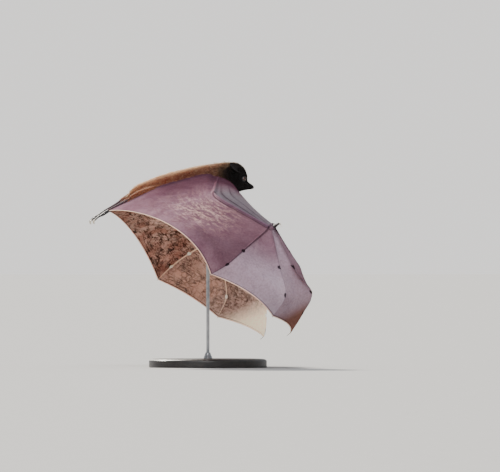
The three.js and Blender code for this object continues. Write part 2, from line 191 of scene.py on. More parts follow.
# puts parts into one mesh object at the origin; weld merges points that fall together
def makePiece(name, parts, material, flatName="skinWay", weld=2e-6):
    whole = joined(parts)
    mesh = bpy.data.meshes.new(name)
    corners = np.concatenate([f.ravel() for f in whole["faces"]]).astype(np.int32)
    sizes = np.concatenate([np.full(len(f), f.shape[1]) for f in whole["faces"]])
    starts = np.concatenate([[0], np.cumsum(sizes)[:-1]]).astype(np.int32)
    mesh.vertices.add(len(whole["points"]))
    mesh.vertices.foreach_set("co", whole["points"].astype(np.float32).ravel())
    mesh.loops.add(len(corners))
    mesh.loops.foreach_set("vertex_index", corners)
    mesh.polygons.add(len(sizes))
    mesh.polygons.foreach_set("loop_start", starts)
    mesh.update(calc_edges=True)
    for mask, values in whole["masks"].items():
        layer = mesh.attributes.new(mask, "FLOAT", "POINT")
        layer.data.foreach_set("value", values.astype(np.float32))
    if whole["flat"] is not None:
        layer = mesh.uv_layers.new(name=flatName)
        layer.uv.foreach_set("vector", whole["flat"][corners].astype(np.float32).ravel())
    if weld:
        tidy = bmesh.new()
        tidy.from_mesh(mesh)
        bmesh.ops.remove_doubles(tidy, verts=tidy.verts, dist=weld)
        tidy.to_mesh(mesh)
        tidy.free()
    mesh.validate()
    mesh.shade_smooth()
    piece = bpy.data.objects.new(name, mesh)
    bpy.context.scene.collection.objects.link(piece)
    mesh.materials.append(material)
    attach(piece, "root")
    return piece


# rings about a line: each ring is an oval, wide times tall, its radius read off along the
# line; ends are rounded by more rings that shrink as a cosine and move on as a sine
def tube(line, shares, radii, columns, wide=1, tall=1, bulge=1, upward=(0, 0, 1)):
    turns = np.radians([30, 60, 85])
    centre, way = onLine(line, shares), wayAlong(line, shares)
    first, last = radii[0], radii[-1]
    before = [centre[:1] - way[:1] * first * bulge * np.sin(a) for a in turns[::-1]]
    after = [centre[-1:] + way[-1:] * last * bulge * np.sin(a) for a in turns]
    poles = centre[:1] - way[:1] * first * bulge, centre[-1:] + way[-1:] * last * bulge
    centre = np.vstack([poles[0], *before, centre, *after, poles[1]])
    way = np.vstack([way[:1]] * 4 + [way] + [way[-1:]] * 4)
    radii = np.concatenate([[0], first * np.cos(turns[::-1]), radii, last * np.cos(turns), [0]])
    side = unit(np.cross(np.array(upward, float), way))
    over = np.cross(way, side)
    turn = np.linspace(0, 2 * np.pi, columns, endpoint=False)[None, :, None]
    ring = side[:, None] * np.sin(turn) * wide + over[:, None] * np.cos(turn) * tall
    return centre[:, None] + radii[:, None, None] * ring


# Materials. Colours are red, green and blue from 0 to 255 as a screen shows them.
def tint(red, green, blue):
    c = np.array([red, green, blue]) / 255
    light = np.where(c <= 0.04045, c / 12.92, ((c + 0.055) / 1.055) ** 2.4)
    return (*map(float, light), 1.0)


# adds a node; each input is a number, a colour or the output of another node
def addNode(tree, kind, inputs=None, **settings):
    node = tree.nodes.new("ShaderNode" + kind)
    for key, value in settings.items():
        setattr(node, key, value)
    for key, value in (inputs or {}).items():
        if isinstance(value, bpy.types.NodeSocket):
            tree.links.new(value, node.inputs[key])
        else:
            node.inputs[key].default_value = value
    return node


# short names for the nodes that the materials share: a group, one colour over another by a
# share, sums on numbers or outputs
def placeGroup(tree, group, **inputs):
    return addNode(tree, "Group", inputs, node_tree=group).outputs


def blend(tree, share, one, other, way="MIX"):
    node = addNode(tree, "Mix", {0: share, 6: one, 7: other}, data_type="RGBA", blend_type=way)
    return node.outputs[2]


def work(tree, operation, *values):
    return addNode(tree, "Math", dict(enumerate(values)), operation=operation).outputs[0]


def times(tree, a, b):
    return work(tree, "MULTIPLY", a, b)


def plus(tree, a, b):
    return work(tree, "ADD", a, b)


def minus(tree, a, b):
    return work(tree, "SUBTRACT", a, b)


# from low, where a value is at start, by an S to high, where it is at end
def rise(tree, value, start, end, low=0.0, high=1.0):
    inputs = {"Value": value, "From Min": start, "From Max": end, "To Min": low, "To Max": high}
    return addNode(tree, "MapRange", inputs, interpolation_type="SMOOTHSTEP").outputs[0]


# 1 where a value is near the middle of a band, 0 away from it
def bumpBand(tree, value, middle, width):
    off = work(tree, "ABSOLUTE", minus(tree, value, middle))
    return rise(tree, off, 0.3 * width, width, 1.0, 0.0)


# a colour read off between stops, each a place and a colour
def colourRamp(tree, value, stops):
    node = addNode(tree, "ValToRGB", {0: value})
    marks = node.color_ramp.elements
    for k, (place, colour) in enumerate(stops):
        mark = marks[k] if k < 2 else marks.new(place)
        mark.position, mark.color = place, tint(*colour)
    return node.outputs[0]


# a number that the mesh carries at each point
def mask(tree, name):
    return addNode(tree, "Attribute", attribute_name=name, attribute_type="GEOMETRY").outputs["Fac"]


def noise(tree, where, scale, detail=3.0, roughness=0.55, wander=0.0):
    inputs = {"Scale": scale, "Detail": detail, "Roughness": roughness, "Distortion": wander}
    return addNode(tree, "TexNoise", {**inputs, "Vector": where}).outputs[0]


def stretchedPlace(tree, where, scale, turn=0.0):
    inputs = {"Vector": where, "Rotation": (0, 0, turn), "Scale": scale}
    return addNode(tree, "Mapping", inputs).outputs[0]


def objectPlace(tree):
    return addNode(tree, "TexCoord").outputs["Object"]


# a group's sockets are each a kind by name, or a number, which is a float and its default
def newGroup(name, inputs, outputs):
    tree = bpy.data.node_groups.new(name, "ShaderNodeTree")
    for direction, sockets in (("INPUT", inputs), ("OUTPUT", outputs)):
        for socket, given in sockets.items():
            kind = "NodeSocket" + (given if isinstance(given, str) else "Float")
            made = tree.interface.new_socket(socket, in_out=direction, socket_type=kind)
            if not isinstance(given, str):
                made.default_value = given
    start, end = tree.nodes.new("NodeGroupInput"), tree.nodes.new("NodeGroupOutput")
    return tree, start.outputs, end.inputs


# a material with its fixed sockets set; its maker links the others
def newMaterial(name, fixed):
    material = bpy.data.materials.new(name)
    material.use_nodes = True
    tree = material.node_tree
    surface = tree.nodes["Principled BSDF"]
    for socket, value in fixed.items():
        surface.inputs[socket].default_value = value
    return material, tree, surface


def bumpOnto(tree, surface, height, distance, strength=1.0):
    inputs = {"Height": height, "Distance": distance, "Strength": strength}
    bump = addNode(tree, "Bump", inputs)
    tree.links.new(bump.outputs[0], surface.inputs["Normal"])


# fine wrinkles: the valleys of a noise, where it passes its middle
def makeCreaseGroup():
    tree, given, result = newGroup(
        "skin creases",
        {"Place": "Vector", "Scale": 300.0, "Width": 0.08, "Wander": 1.0},
        {"Crease": "Float"},
    )
    inputs = {"Vector": given["Place"], "Scale": given["Scale"], "Distortion": given["Wander"]}
    field = addNode(tree, "TexNoise", {**inputs, "Detail": 2.0}).outputs[0]
    depth = work(tree, "ABSOLUTE", minus(tree, field, 0.5))
    tree.links.new(rise(tree, depth, 0.0, given["Width"], 1.0, 0.0), result["Crease"])
    return tree


# branching vessels: borders between cells whose places are pushed about by a noise
def makeVeinGroup():
    tree, given, result = newGroup(
        "skin vessels",
        {"Place": "Vector", "Scale": 40.0, "Width": 0.06, "Wander": 0.012},
        {"Vein": "Float"},
    )
    push = addNode(tree, "TexNoise", {"Vector": given["Place"], "Scale": 55.0, "Detail": 2.0})
    middle = {0: push.outputs["Color"], 1: (0.5, 0.5, 0.5)}
    centred = addNode(tree, "VectorMath", middle, operation="SUBTRACT").outputs[0]
    far = {0: centred, "Scale": given["Wander"]}
    scaled = addNode(tree, "VectorMath", far, operation="SCALE").outputs[0]
    moved = addNode(tree, "VectorMath", {0: given["Place"], 1: scaled}, operation="ADD").outputs[0]
    spread = {"Vector": moved, "Scale": given["Scale"]}
    cells = addNode(tree, "TexVoronoi", spread, feature="DISTANCE_TO_EDGE").outputs["Distance"]
    strength = noise(tree, given["Place"], 38.0, 2.0)
    wide = times(tree, given["Width"], rise(tree, strength, 0.32, 0.7, 0.1, 1.5))
    tree.links.new(rise(tree, cells, 0.0, wide, 1.0, 0.0), result["Vein"])
    return tree


# the coat's marks: golden rump, red-brown shoulders, a nearly black head, paler ends of hairs, and a
# pale crest along the top of the back that is partly painted rim light
def makeCoatGroup():
    tree, given, result = newGroup(
        "coat markings",
        {"Place": "Vector", "Along": 0.5, "Dorsal": 0.0, "Hair": 0.5, "Tone": 0.5},
        {"Colour": "Color", "Rough": "Float"},
    )
    wander = minus(tree, noise(tree, given["Place"], 60.0, 3.0), 0.5)
    spot = plus(tree, given["Along"], times(tree, wander, 0.05))
    # the dark of the head reaches further back on the sides of the neck than on its nape
    spot = plus(tree, spot, rise(tree, given["Dorsal"], 0.98, 0.5, 0.0, 0.075))
    back = colourRamp(tree, spot, looks["backCoat"])
    belly = colourRamp(tree, spot, looks["bellyCoat"])
    colour = blend(tree, rise(tree, given["Dorsal"], -0.5, 0.3), belly, back)
    isHead = rise(tree, spot, 0.77, 0.85)
    pale = blend(tree, rise(tree, given["Dorsal"], -0.1, 0.8), shown["bellyTip"], shown["backTip"])
    tipShare = times(tree, rise(tree, given["Hair"], 0.5, 1.0), rise(tree, spot, 0.1, 0.78, 0.46, 0.3))
    tipShare = times(tree, tipShare, rise(tree, isHead, 0.0, 1.0, 1.0, 0.03))
    tipShare = times(tree, tipShare, rise(tree, given["Tone"], 0.2, 0.9, 0.35, 1.15))
    # along the top of the back the hairs' ends go paler: partly the coat's own frosting, partly painted
    # rim light
    ridge = rise(tree, given["Dorsal"], 0.72, 0.97, 0.0, 0.62)
    frostAndRimLight = times(tree, ridge, rise(tree, given["Hair"], 0.4, 0.85))
    frostAndRimLight = times(tree, frostAndRimLight, rise(tree, spot, 0.5, 0.86, 1.0, 0.06))
    tipShare = work(tree, "MAXIMUM", tipShare, frostAndRimLight)
    colour = blend(tree, tipShare, colour, pale)
    dark = blend(tree, 1.0, colour, shown["rootShade"], "MULTIPLY")
    colour = blend(tree, rise(tree, given["Hair"], 0.55, 0.0, 0.0, 0.8), colour, dark)
    light = rise(tree, given["Tone"], 0.0, 1.0, 0.72, 1.28)
    grey = addNode(tree, "CombineColor", {0: light, 1: light, 2: light}).outputs[0]
    colour = blend(tree, 1.0, colour, grey, "MULTIPLY")
    tree.links.new(colour, result["Colour"])
    tree.links.new(rise(tree, given["Tone"], 0.0, 1.0, 0.5, 0.68), result["Rough"])
    return tree


looks = {
    "backCoat": [
        (0.0, (184, 116, 80)),
        (0.18, (160, 84, 58)),
        (0.36, (134, 54, 40)),
        (0.54, (108, 42, 34)),
        (0.66, (104, 50, 42)),
        (0.75, (86, 44, 38)),
        (0.81, (30, 17, 16)),
        (0.86, (10, 7, 8)),
    ],
    "bellyCoat": [
        (0.0, (160, 104, 64)),
        (0.3, (140, 86, 56)),
        (0.55, (120, 70, 48)),
        (0.72, (92, 50, 40)),
        (0.8, (40, 24, 22)),
        (0.86, (12, 8, 9)),
    ],
    "backTip": (244, 196, 146),
    "bellyTip": (190, 140, 98),
    "rootShade": (150, 92, 80),
    "mauve": (116, 84, 96),
    "paleMauve": (144, 113, 124),
    "crepe": (232, 194, 178),
    "panel": (94, 66, 76),
    "fore": (86, 85, 90),
    "shade": (60, 28, 42),
    "line": (40, 24, 34),
    "limb": (104, 78, 96),
    "rim": (255, 214, 188),
    "tipBrown": (114, 76, 64),
    "tan": (166, 120, 104),
    "paleTan": (202, 168, 152),
    "vessel": (34, 14, 10),
    "rust": (98, 38, 14),
    "paleLine": (255, 222, 192),
    "knobDark": (18, 10, 16),
    "knobLight": (255, 248, 232),
    "cream": (255, 232, 200),
    "hand": (222, 198, 182),
    "handTop": (192, 176, 188),
    "fleck": (236, 231, 233),
    "white": (255, 255, 255),
    "black": (0, 0, 0),
    "bareSkin": (20, 15, 18),
    "bareSkinPale": (52, 42, 46),
    "shin": (86, 66, 70),
    "shinDark": (48, 34, 40),
    "blackSkin": (14, 11, 13),
    "blackSkinRidge": (48, 40, 43),
    "earSkin": (12, 8, 9),
    "earSkinRidge": (34, 24, 24),
    "hornRoot": (92, 76, 66),
    "horn": (222, 210, 186),
    "hornStreak": (120, 98, 80),
    "iris": (34, 13, 7),
    "irisPale": (84, 38, 18),
    "irisRim": (30, 14, 10),
    "pupil": (3, 3, 4),
    "eyeWhite": (46, 30, 26),
    "wood": (18, 16, 16),
    "woodPale": (44, 38, 35),
    "woodPore": (9, 8, 8),
    "steel": (150, 152, 156),
    "steelPale": (184, 185, 187),
    "floor": (169, 168, 166),
    "floorPale": (174, 173, 172),
}
shown = {name: tint(*colour) for name, colour in looks.items() if not name.endswith("Coat")}
# what each point of the wing's skin carries, from 0 to 1, for the colours above
sheetMasks = "bone edge limb knob crepe shade rear tip fore cords near5 hand".split()
creases, vessels, coatMarks = makeCreaseGroup(), makeVeinGroup(), makeCoatGroup()


# the wing's skin: mauve with creases above, tan with vessels below, and a pale rim round both that is
# painted rim light; painted shade, painted highlights on the crinkles and a painted glow at the tip are
# laid in too
def makeWingMaterial():
    material, tree, surface = newMaterial(
        "wing membrane",
        {
            "Specular IOR Level": 0.0,
            "Emission Strength": 0.3,
            "Subsurface Weight": 0.6,
            "Subsurface Scale": 0.0015,
            "Subsurface Radius": (1.0, 0.8, 0.68),
        },
    )
    place = objectPlace(tree)
    way = addNode(tree, "UVMap", uv_map="skinWay").outputs[0]
    stretched = stretchedPlace(tree, way, (66, 150, 1))
    fibres = stretchedPlace(tree, way, (30, 84, 1), 0.6)
    at = {name: mask(tree, name) for name in ("underside", *sheetMasks)}

    def creaseAt(where, scale, width, wander):
        return placeGroup(tree, creases, Place=where, Scale=scale, Width=width, Wander=wander)["Crease"]

    def veinAt(scale, width, wander):
        return placeGroup(tree, vessels, Place=place, Scale=scale, Width=width, Wander=wander)["Vein"]

    # a named colour over the ground: by a share, or where a mask rises from start to end
    def lay(ground, share, colour):
        return blend(tree, share, ground, shown[colour])

    def layMask(ground, name, start, end, most, colour):
        return lay(ground, rise(tree, at[name], start, end, 0.0, most), colour)

    broad, fine = noise(tree, place, 24.0, 4.0), noise(tree, place, 230.0, 3.0)
    crease, wrinkle = creaseAt(place, 230.0, 0.05, 1.2), creaseAt(stretched, 1.0, 0.09, 1.4)
    curl = times(tree, creaseAt(place, 62.0, 0.016, 2.6), at["crepe"])
    vein = veinAt(38.0, 0.05, 0.03)
    broken = rise(tree, noise(tree, place, 40.0, 2.0), 0.36, 0.56)
    streak = times(tree, creaseAt(fibres, 1.0, 0.1, 1.8), broken)
    web = veinAt(82.0, 0.13, 0.016)

    # the upper side
    upper = blend(tree, rise(tree, broad, 0.3, 0.72), shown["mauve"], shown["paleMauve"])
    # painted shade by the body and towards the rear of the upper side; darker near the fifth finger and
    # paler over the hand
    for name, share, colour in (
        ("shade", 0.85, "shade"),
        ("rear", 0.4, "panel"),
        ("near5", 0.75, "panel"),
        ("hand", 0.7, "handTop"),
    ):
        upper = lay(upper, times(tree, at[name], share), colour)
    # painted highlights: pale streaks on the crinkles of the crinkled patch, over a darker ground there
    patchy = rise(tree, noise(tree, stretched, 0.8, 5.0, wander=0.5), 0.42, 0.6)
    crinkleHighlights = times(tree, times(tree, at["crepe"], rise(tree, wrinkle, 0.0, 1.0, 1.0, 0.1)), patchy)
    upper = lay(upper, times(tree, at["crepe"], 0.45), "panel")
    upper = lay(upper, times(tree, crinkleHighlights, 0.5), "crepe")
    upper = lay(upper, times(tree, at["fore"], 0.85), "fore")
    upper = lay(upper, times(tree, vein, 0.14), "line")
    # painted shade in the valleys of the wrinkles, and painted highlights on the curls of the crinkled
    # patch
    upper = lay(upper, times(tree, wrinkle, times(tree, at["crepe"], 0.2)), "line")
    upper = lay(upper, times(tree, curl, 0.15), "crepe")
    upper = layMask(upper, "tip", 0.3, 0.8, 0.95, "tipBrown")
    upper = layMask(upper, "limb", 0.1, 0.75, 0.6, "limb")
    sinew = times(tree, bumpBand(tree, at["limb"], 0.16, 0.12), 0.6)
    upper = lay(upper, work(tree, "MAXIMUM", sinew, times(tree, at["cords"], 0.8)), "line")
    # dark lines over the fingers: partly the bones' own dark colour, partly painted shade
    upper = layMask(upper, "bone", 0.15, 1.0, 0.85, "line")
    upper = layMask(upper, "knob", 0.08, 0.4, 0.9, "knobDark")

    # the lower side
    lower = blend(tree, rise(tree, broad, 0.38, 0.64), shown["tan"], shown["paleTan"])
    lower = lay(lower, times(tree, at["rear"], rise(tree, fine, 0.4, 0.6, 0.35, 1.0)), "rust")
    lower = lay(lower, times(tree, at["hand"], 0.7), "hand")
    faint = rise(tree, at["tip"], 0.1, 0.8, 1.0, 0.2)
    faint = times(tree, faint, rise(tree, at["hand"], 0.0, 1.0, 1.0, 0.55))
    for share, lines in ((0.6, web), (0.82, streak), (0.88, vein)):
        lower = lay(lower, times(tree, times(tree, lines, share), faint), "vessel")
    # painted light: towards its end the underside goes cream, as if lit through the skin
    lower = layMask(lower, "tip", 0.22, 0.85, 1.0, "cream")
    lower = layMask(lower, "limb", 0.25, 0.9, 0.5, "tan")
    lower = layMask(lower, "bone", 0.1, 0.5, 0.92, "paleLine")
    lower = layMask(lower, "knob", 0.1, 0.45, 1.0, "knobLight")

    colour = blend(tree, at["underside"], upper, lower)
    colour = lay(colour, bumpBand(tree, at["edge"], 0.22, 0.14), "line")
    # a painted highlight: the pale rim along the free edges stands for rim light
    colour = layMask(colour, "edge", 0.4, 0.85, 0.95, "rim")
    flecks = blend(tree, rise(tree, fine, 0.3, 0.7), shown["fleck"], shown["white"])
    colour = blend(tree, 1.0, colour, flecks, "MULTIPLY")
    tree.links.new(colour, surface.inputs["Base Color"])
    # a painted glow: the pale end of the wing's underside gives off a little cream light of its own,
    # standing for light that comes through the thin skin
    through = times(tree, rise(tree, at["tip"], 0.3, 0.95), at["underside"])
    glow = blend(tree, through, shown["black"], shown["cream"])
    tree.links.new(glow, surface.inputs["Emission Color"])
    tree.links.new(rise(tree, fine, 0.2, 0.8, 0.52, 0.7), surface.inputs["Roughness"])
    height = times(tree, crease, -0.4)
    height = minus(tree, height, times(tree, wrinkle, plus(tree, at["crepe"], 0.25)))
    height = plus(tree, height, times(tree, vein, 0.4))
    height = plus(tree, height, times(tree, noise(tree, place, 700.0, 2.0), 0.5))
    bumpOnto(tree, surface, height, 0.0005, 0.6)
    return material


# the coat and the skin under it share their marks; the skin is bare on face and shins
def makeCoatMaterial(name, isSkin):
    material, tree, surface = newMaterial(
        name,
        {
            "Sheen Weight": 0.06,
            "Sheen Roughness": 0.35,
            "Specular IOR Level": 0.12,
            "Subsurface Weight": 0.0 if isSkin else 0.4,
            "Subsurface Scale": 0.002,
            "Subsurface Radius": (1.0, 0.75, 0.55),
        },
    )
    place = objectPlace(tree)
    strand = noise(tree, place, 900.0, 2.0)
    hair = rise(tree, strand, 0.3, 0.7, 0.1, 0.6) if isSkin else mask(tree, "hair")
    tone = noise(tree, place, 340.0, 3.0) if isSkin else mask(tree, "tone")
    share, dorsal = mask(tree, "bodyShare"), mask(tree, "dorsal")
    marks = placeGroup(tree, coatMarks, Place=place, Along=share, Dorsal=dorsal, Hair=hair, Tone=tone)
    colour, rough = marks["Colour"], marks["Rough"]
    if isSkin:
        bare = mask(tree, "bare")
        skinTone = blend(tree, noise(tree, place, 500.0), shown["bareSkin"], shown["bareSkinPale"])
        colour = blend(tree, rise(tree, bare, 0.3, 0.8), colour, skinTone)
        shin = blend(tree, noise(tree, place, 90.0), shown["shin"], shown["shinDark"])
        colour = blend(tree, rise(tree, mask(tree, "shin"), 0.1, 0.7), colour, shin)
        rough = rise(tree, bare, 0.3, 0.8, 0.62, 0.36)
        crease = placeGroup(tree, creases, Place=place, Scale=420.0, Width=0.1, Wander=0.8)["Crease"]
        height = plus(tree, strand, times(tree, crease, -0.6))
        bumpOnto(tree, surface, height, 0.0004, 0.8)
    else:
        bumpOnto(tree, surface, noise(tree, place, 2600.0, 1.0), 0.0001, 0.5)
    tree.links.new(colour, surface.inputs["Base Color"])
    tree.links.new(rough, surface.inputs["Roughness"])
    return material


# bare skin of ears, lids, feet and thumbs: nearly black, creased, paler in broad patches
def makeBareMaterial(name, colourName, rough, shine):
    fixed = {"Specular IOR Level": shine, "Sheen Weight": 0.3 * shine}
    material, tree, surface = newMaterial(name, fixed)
    deep, ridge = shown[colourName], shown[colourName + "Ridge"]
    place = objectPlace(tree)
    crease = placeGroup(tree, creases, Place=place, Scale=480.0, Width=0.09, Wander=0.9)["Crease"]
    cells = {"Vector": place, "Scale": 1100.0}
    pebbles = addNode(tree, "TexVoronoi", cells, feature="SMOOTH_F1").outputs[0]
    patches = noise(tree, place, 120.0, 4.0)
    colour = blend(tree, rise(tree, patches, 0.35, 0.7), deep, ridge)
    colour = blend(tree, times(tree, crease, 0.6), colour, deep)
    tree.links.new(colour, surface.inputs["Base Color"])
    tree.links.new(rise(tree, patches, 0.3, 0.7, rough, rough + 0.16), surface.inputs["Roughness"])
    height = minus(tree, times(tree, pebbles, -0.5), crease)
    bumpOnto(tree, surface, height, 0.0003, 0.8)
    return material


# claws: brown at the root, pale towards the point, with fine streaks
def makeHornMaterial():
    fixed = {"Specular IOR Level": 0.6, "Coat Weight": 0.2}
    material, tree, surface = newMaterial("pale claw horn", fixed)
    place = objectPlace(tree)
    streaks = noise(tree, place, 900.0, 3.0, wander=1.5)
    root = mask(tree, "claw")
    colour = blend(tree, rise(tree, root, 0.0, 0.75), shown["hornRoot"], shown["horn"])
    colour = blend(tree, rise(tree, streaks, 0.45, 0.7, 0.0, 0.35), colour, shown["hornStreak"])
    tree.links.new(colour, surface.inputs["Base Color"])
    tree.links.new(rise(tree, streaks, 0.3, 0.7, 0.22, 0.4), surface.inputs["Roughness"])
    bumpOnto(tree, surface, streaks, 0.0001, 0.6)
    return material


# the eye: "round" is the angle from the middle of the pupil, 1 at a right angle
def makeEyeMaterial():
    material, tree, surface = newMaterial(
        "eye", {"Specular IOR Level": 0.5, "Coat Weight": 0.3, "Coat Roughness": 0.05}
    )
    place, out = objectPlace(tree), mask(tree, "round")
    spokes = noise(tree, place, 1500.0, 3.0, wander=0.6)
    iris = blend(tree, rise(tree, spokes, 0.35, 0.65), shown["iris"], shown["irisPale"])
    iris = blend(tree, rise(tree, out, 0.42, 0.6), iris, shown["irisRim"])
    colour = blend(tree, rise(tree, out, 0.19, 0.235), shown["pupil"], iris)
    colour = blend(tree, rise(tree, out, 0.6, 0.7), colour, shown["eyeWhite"])
    tree.links.new(colour, surface.inputs["Base Color"])
    tree.links.new(rise(tree, spokes, 0.3, 0.7, 0.08, 0.16), surface.inputs["Roughness"])
    bumpOnto(tree, surface, spokes, 0.00004, 0.3)
    return material


# stained wood: one noise drawn out along x is its grain, a finer one its pores
def makeWoodMaterial():
    material, tree, surface = newMaterial(
        "black stained wood", {"Specular IOR Level": 0.5, "Coat Weight": 0.12, "Coat Roughness": 0.25}
    )
    place = objectPlace(tree)
    grain = noise(tree, stretchedPlace(tree, place, (1, 14, 8)), 14.0, 6.0, 0.62, 0.6)
    pores = noise(tree, stretchedPlace(tree, place, (1, 22, 22)), 90.0, 2.0)
    colour = blend(tree, rise(tree, grain, 0.35, 0.68), shown["wood"], shown["woodPale"])
    colour = blend(tree, rise(tree, pores, 0.56, 0.68, 0.0, 0.7), colour, shown["woodPore"])
    tree.links.new(colour, surface.inputs["Base Color"])
    tree.links.new(rise(tree, grain, 0.3, 0.7, 0.34, 0.46), surface.inputs["Roughness"])
    height = minus(tree, grain, rise(tree, pores, 0.54, 0.66, 0.0, 0.8))
    bumpOnto(tree, surface, height, 0.0003, 0.6)
    return material


# brushed steel: a noise squeezed along z leaves rings, a broad one leaves wear
def makeSteelMaterial():
    material, tree, surface = newMaterial("brushed steel", {"Metallic": 1.0})
    place = objectPlace(tree)
    rings = noise(tree, stretchedPlace(tree, place, (1, 1, 40)), 60.0, 3.0)
    wear = noise(tree, place, 45.0, 4.0)
    colour = blend(tree, rise(tree, wear, 0.35, 0.7), shown["steel"], shown["steelPale"])
    tree.links.new(colour, surface.inputs["Base Color"])
    tree.links.new(rise(tree, rings, 0.3, 0.7, 0.26, 0.42), surface.inputs["Roughness"])
    bumpOnto(tree, surface, rings, 0.0001, 0.3)
    return material


def makeFloorMaterial():
    material, tree, surface = newMaterial("pale floor", {"Specular IOR Level": 0.2})
    place = objectPlace(tree)
    speck = noise(tree, place, 30.0, 4.0)
    colour = blend(tree, rise(tree, speck, 0.3, 0.7), shown["floor"], shown["floorPale"])
    tree.links.new(colour, surface.inputs["Base Color"])
    tree.links.new(rise(tree, speck, 0.3, 0.7, 0.72, 0.82), surface.inputs["Roughness"])
    return material


wingMembrane = makeWingMaterial()
skinUnderCoat = makeCoatMaterial("skin under the coat", isSkin=True)
coatFur = makeCoatMaterial("coat of hair", isSkin=False)
blackSkin = makeBareMaterial("bare black skin", "blackSkin", rough=0.38, shine=0.4)
earSkin = makeBareMaterial("ear skin", "earSkin", rough=0.6, shine=0.12)
clawHorn, eyeGloss = makeHornMaterial(), makeEyeMaterial()
wood, brushedSteel, paleFloor = makeWoodMaterial(), makeSteelMaterial(), makeFloorMaterial()
print("materials made")

# The arm and hand: bones as length, degrees ahead and degrees down, and radii root to tip.
arm = {
    "shoulder": np.array([0, 30, 0.0]),
    "humerus": [[112, -15.1, 14.9]],
    "forearm": [[167, 39, 22.3]],
    "elbowRounding": (26, 34),
    "radii": [1, 2, 3, 4, 5.4, 6, 5.6, 5, 4.6, 4.4, 4.6, 5.2],
    "wristKnob": 6.0,
}
fingers = {
    "thumb": {
        "bones": [[18, 12, -8], [30, 5, -9], [9, 12, 12], [6, 20, 62]],
        "root": [5, 2, 4],
        "radii": [3.6, 3.2, 2.6, 2.0, 0.9],
    },
    "finger_2": {
        "bones": [[66, 43, 48], [34, 45.5, 50], [7, 60, 60]],
        "root": [4.5, 1, 0.5],
        "radii": [2.6, 1.7, 1.5, 0.8],
    },
    "finger_3": {
        "bones": [
            [107.6, 27.5, 48.3],
            [75.6, 133.6, 40],
            [54.6, 199, 49],
            [54.6, 201.5, 40],
            [14, 243, 44],
        ],
        "leftLast": [[54.6, 182, 55], [54.6, 194, 42], [15, 250, 50]],
        "root": [1.5, 1.5, -1.5],
        "radii": [2.8, 2.2, 1.8, 1.2, 0.6],
    },
    "finger_4": {
        "bones": [[108.5, 2.3, 48], [60.1, 16.9, 65.3], [53.6, 224.2, 53]],
        "root": [-1.5, 1, -2],
        "radii": [2.5, 2.0, 1.5, 0.7],
    },
    "finger_5": {
        "bones": [[113.5, -43, 24.7], [46.4, -66.6, 35.6], [42, -122.6, 27.8]],
        "leftLast": [[45, -120, 37]],
        "root": [-5, -0.5, -1],
        "radii": [2.7, 2.1, 1.5, 0.7],
    },
}
# The wing's skin. Ease crowds its rows towards the arm and its columns towards the wrist.
skin = {
    "ease": 1.25,
    "rows": 116,
    "armColumns": 140,
    "handColumns": 60,
    "frontColumns": 14,
    "foreRows": 24,
    "halfThickness": 0.33,
    "rimHalf": 0.5,
    "rimWidth": 1.9,
    "wristReach": 10,
    "reach": {"finger_3": 0.975, "finger_4": 0.99, "finger_5": 0.99},
    "freeFrom": {"finger_3": 0.9, "finger_4": 0.955, "finger_5": 0.955, "finger_2": 0.93},
    "trailingHandles": [[36, 136, 6], [-35, 18, 100]],
    "armHollow": 14,
    "leadingStart": [31, 22, -4],
    "leadingSlack": [-5, 0, -2],
    "foreBulge": 7,
    "web54": {"edge": [10, 32, 4], "hollow": 12},
    "web43": {"edge": [13, 4, 1], "hollow": 6},
    "frontCorner": 0.667,
    "secondEnds": 0.66,
    "foldDepth": 0.5,
    "shoulder": [2, 23, 16],
}
leg = {
    "hip": [-122, 14, -22],
    "knee": [-160, 45, -24],
    "ankle": [-222, 22, -57],
    "radii": [13, 12, 10, 7.5, 6.2, 5.4, 4.4, 3.4, 3.1, 3.2],
}
flank = {"stations": (-24, -60, -100, -130), "degreesUp": (54, 42), "inside": 0.93}
trunkSections = [
    [-173, -24, -30, 3],
    [-168, -18, -36, 10],
    [-158, -11, -42, 17],
    [-138, -3, -46, 24],
    [-112, 7, -49, 31],
    [-79, 18, -50, 36],
    [-44, 28, -48, 38.5],
    [-14, 34, -43, 38.5],
    [10, 38, -34, 35],
]
elbow = chain(arm["shoulder"], arm["humerus"])[1]
wrist = chain(elbow, arm["forearm"])[1]
knee, ankle = np.array(leg["knee"], float), np.array(leg["ankle"], float)


# points spaced evenly on the straight way from a to b
def straight(a, b, count=60):
    return mix(np.asarray(a, float), np.asarray(b, float), np.linspace(0, 1, count)[:, None])


# a curve between two points that a third pulls towards itself, (1-t)^2, 2t(1-t) and t^2
def bow(a, pull, b, t):
    t = t[:, None]
    return (1 - t) ** 2 * np.array(a, float) + 2 * t * (1 - t) * pull + t**2 * np.array(b, float)


# shoulder to wrist: two bones, the corner at the elbow rounded by a bow
def armLine():
    shares = [
        arm["elbowRounding"][0] / np.linalg.norm(elbow - arm["shoulder"]),
        arm["elbowRounding"][1] / np.linalg.norm(wrist - elbow),
    ]
    above, below = mix(elbow, arm["shoulder"], shares[0]), mix(elbow, wrist, shares[1])
    bend = bow(above, elbow, below, np.linspace(0, 1, 40))
    upper, lower = straight(skin["shoulder"], above), straight(below, wrist, 90)
    return measured(np.vstack([upper, bend[1:-1], lower]))


# a smooth line through a finger's joints, each of which is a knot of it
def fingerLine(name, isLeft):
    finger = fingers[name]
    last = finger.get("leftLast", []) if isLeft else []
    bones = finger["bones"][: len(finger["bones"]) - len(last)] + last
    joints = np.vstack([wrist + np.array(finger["root"]), chain(wrist, bones)[1:]])
    line = measured(smoothLine(joints, np.linspace(0, 1, 60 * len(bones) + 1)))
    line["joints"] = line["share"][::60]
    line["radii"] = finger["radii"]
    return line


# radius along a finger, with a knob at each joint
def fingerRadius(line, share):
    knobs = sum(bell(share - j, 4 / line["length"]) for j in line["joints"][1:-1])
    return along(line["radii"], share) * (1 + 0.3 * knobs)


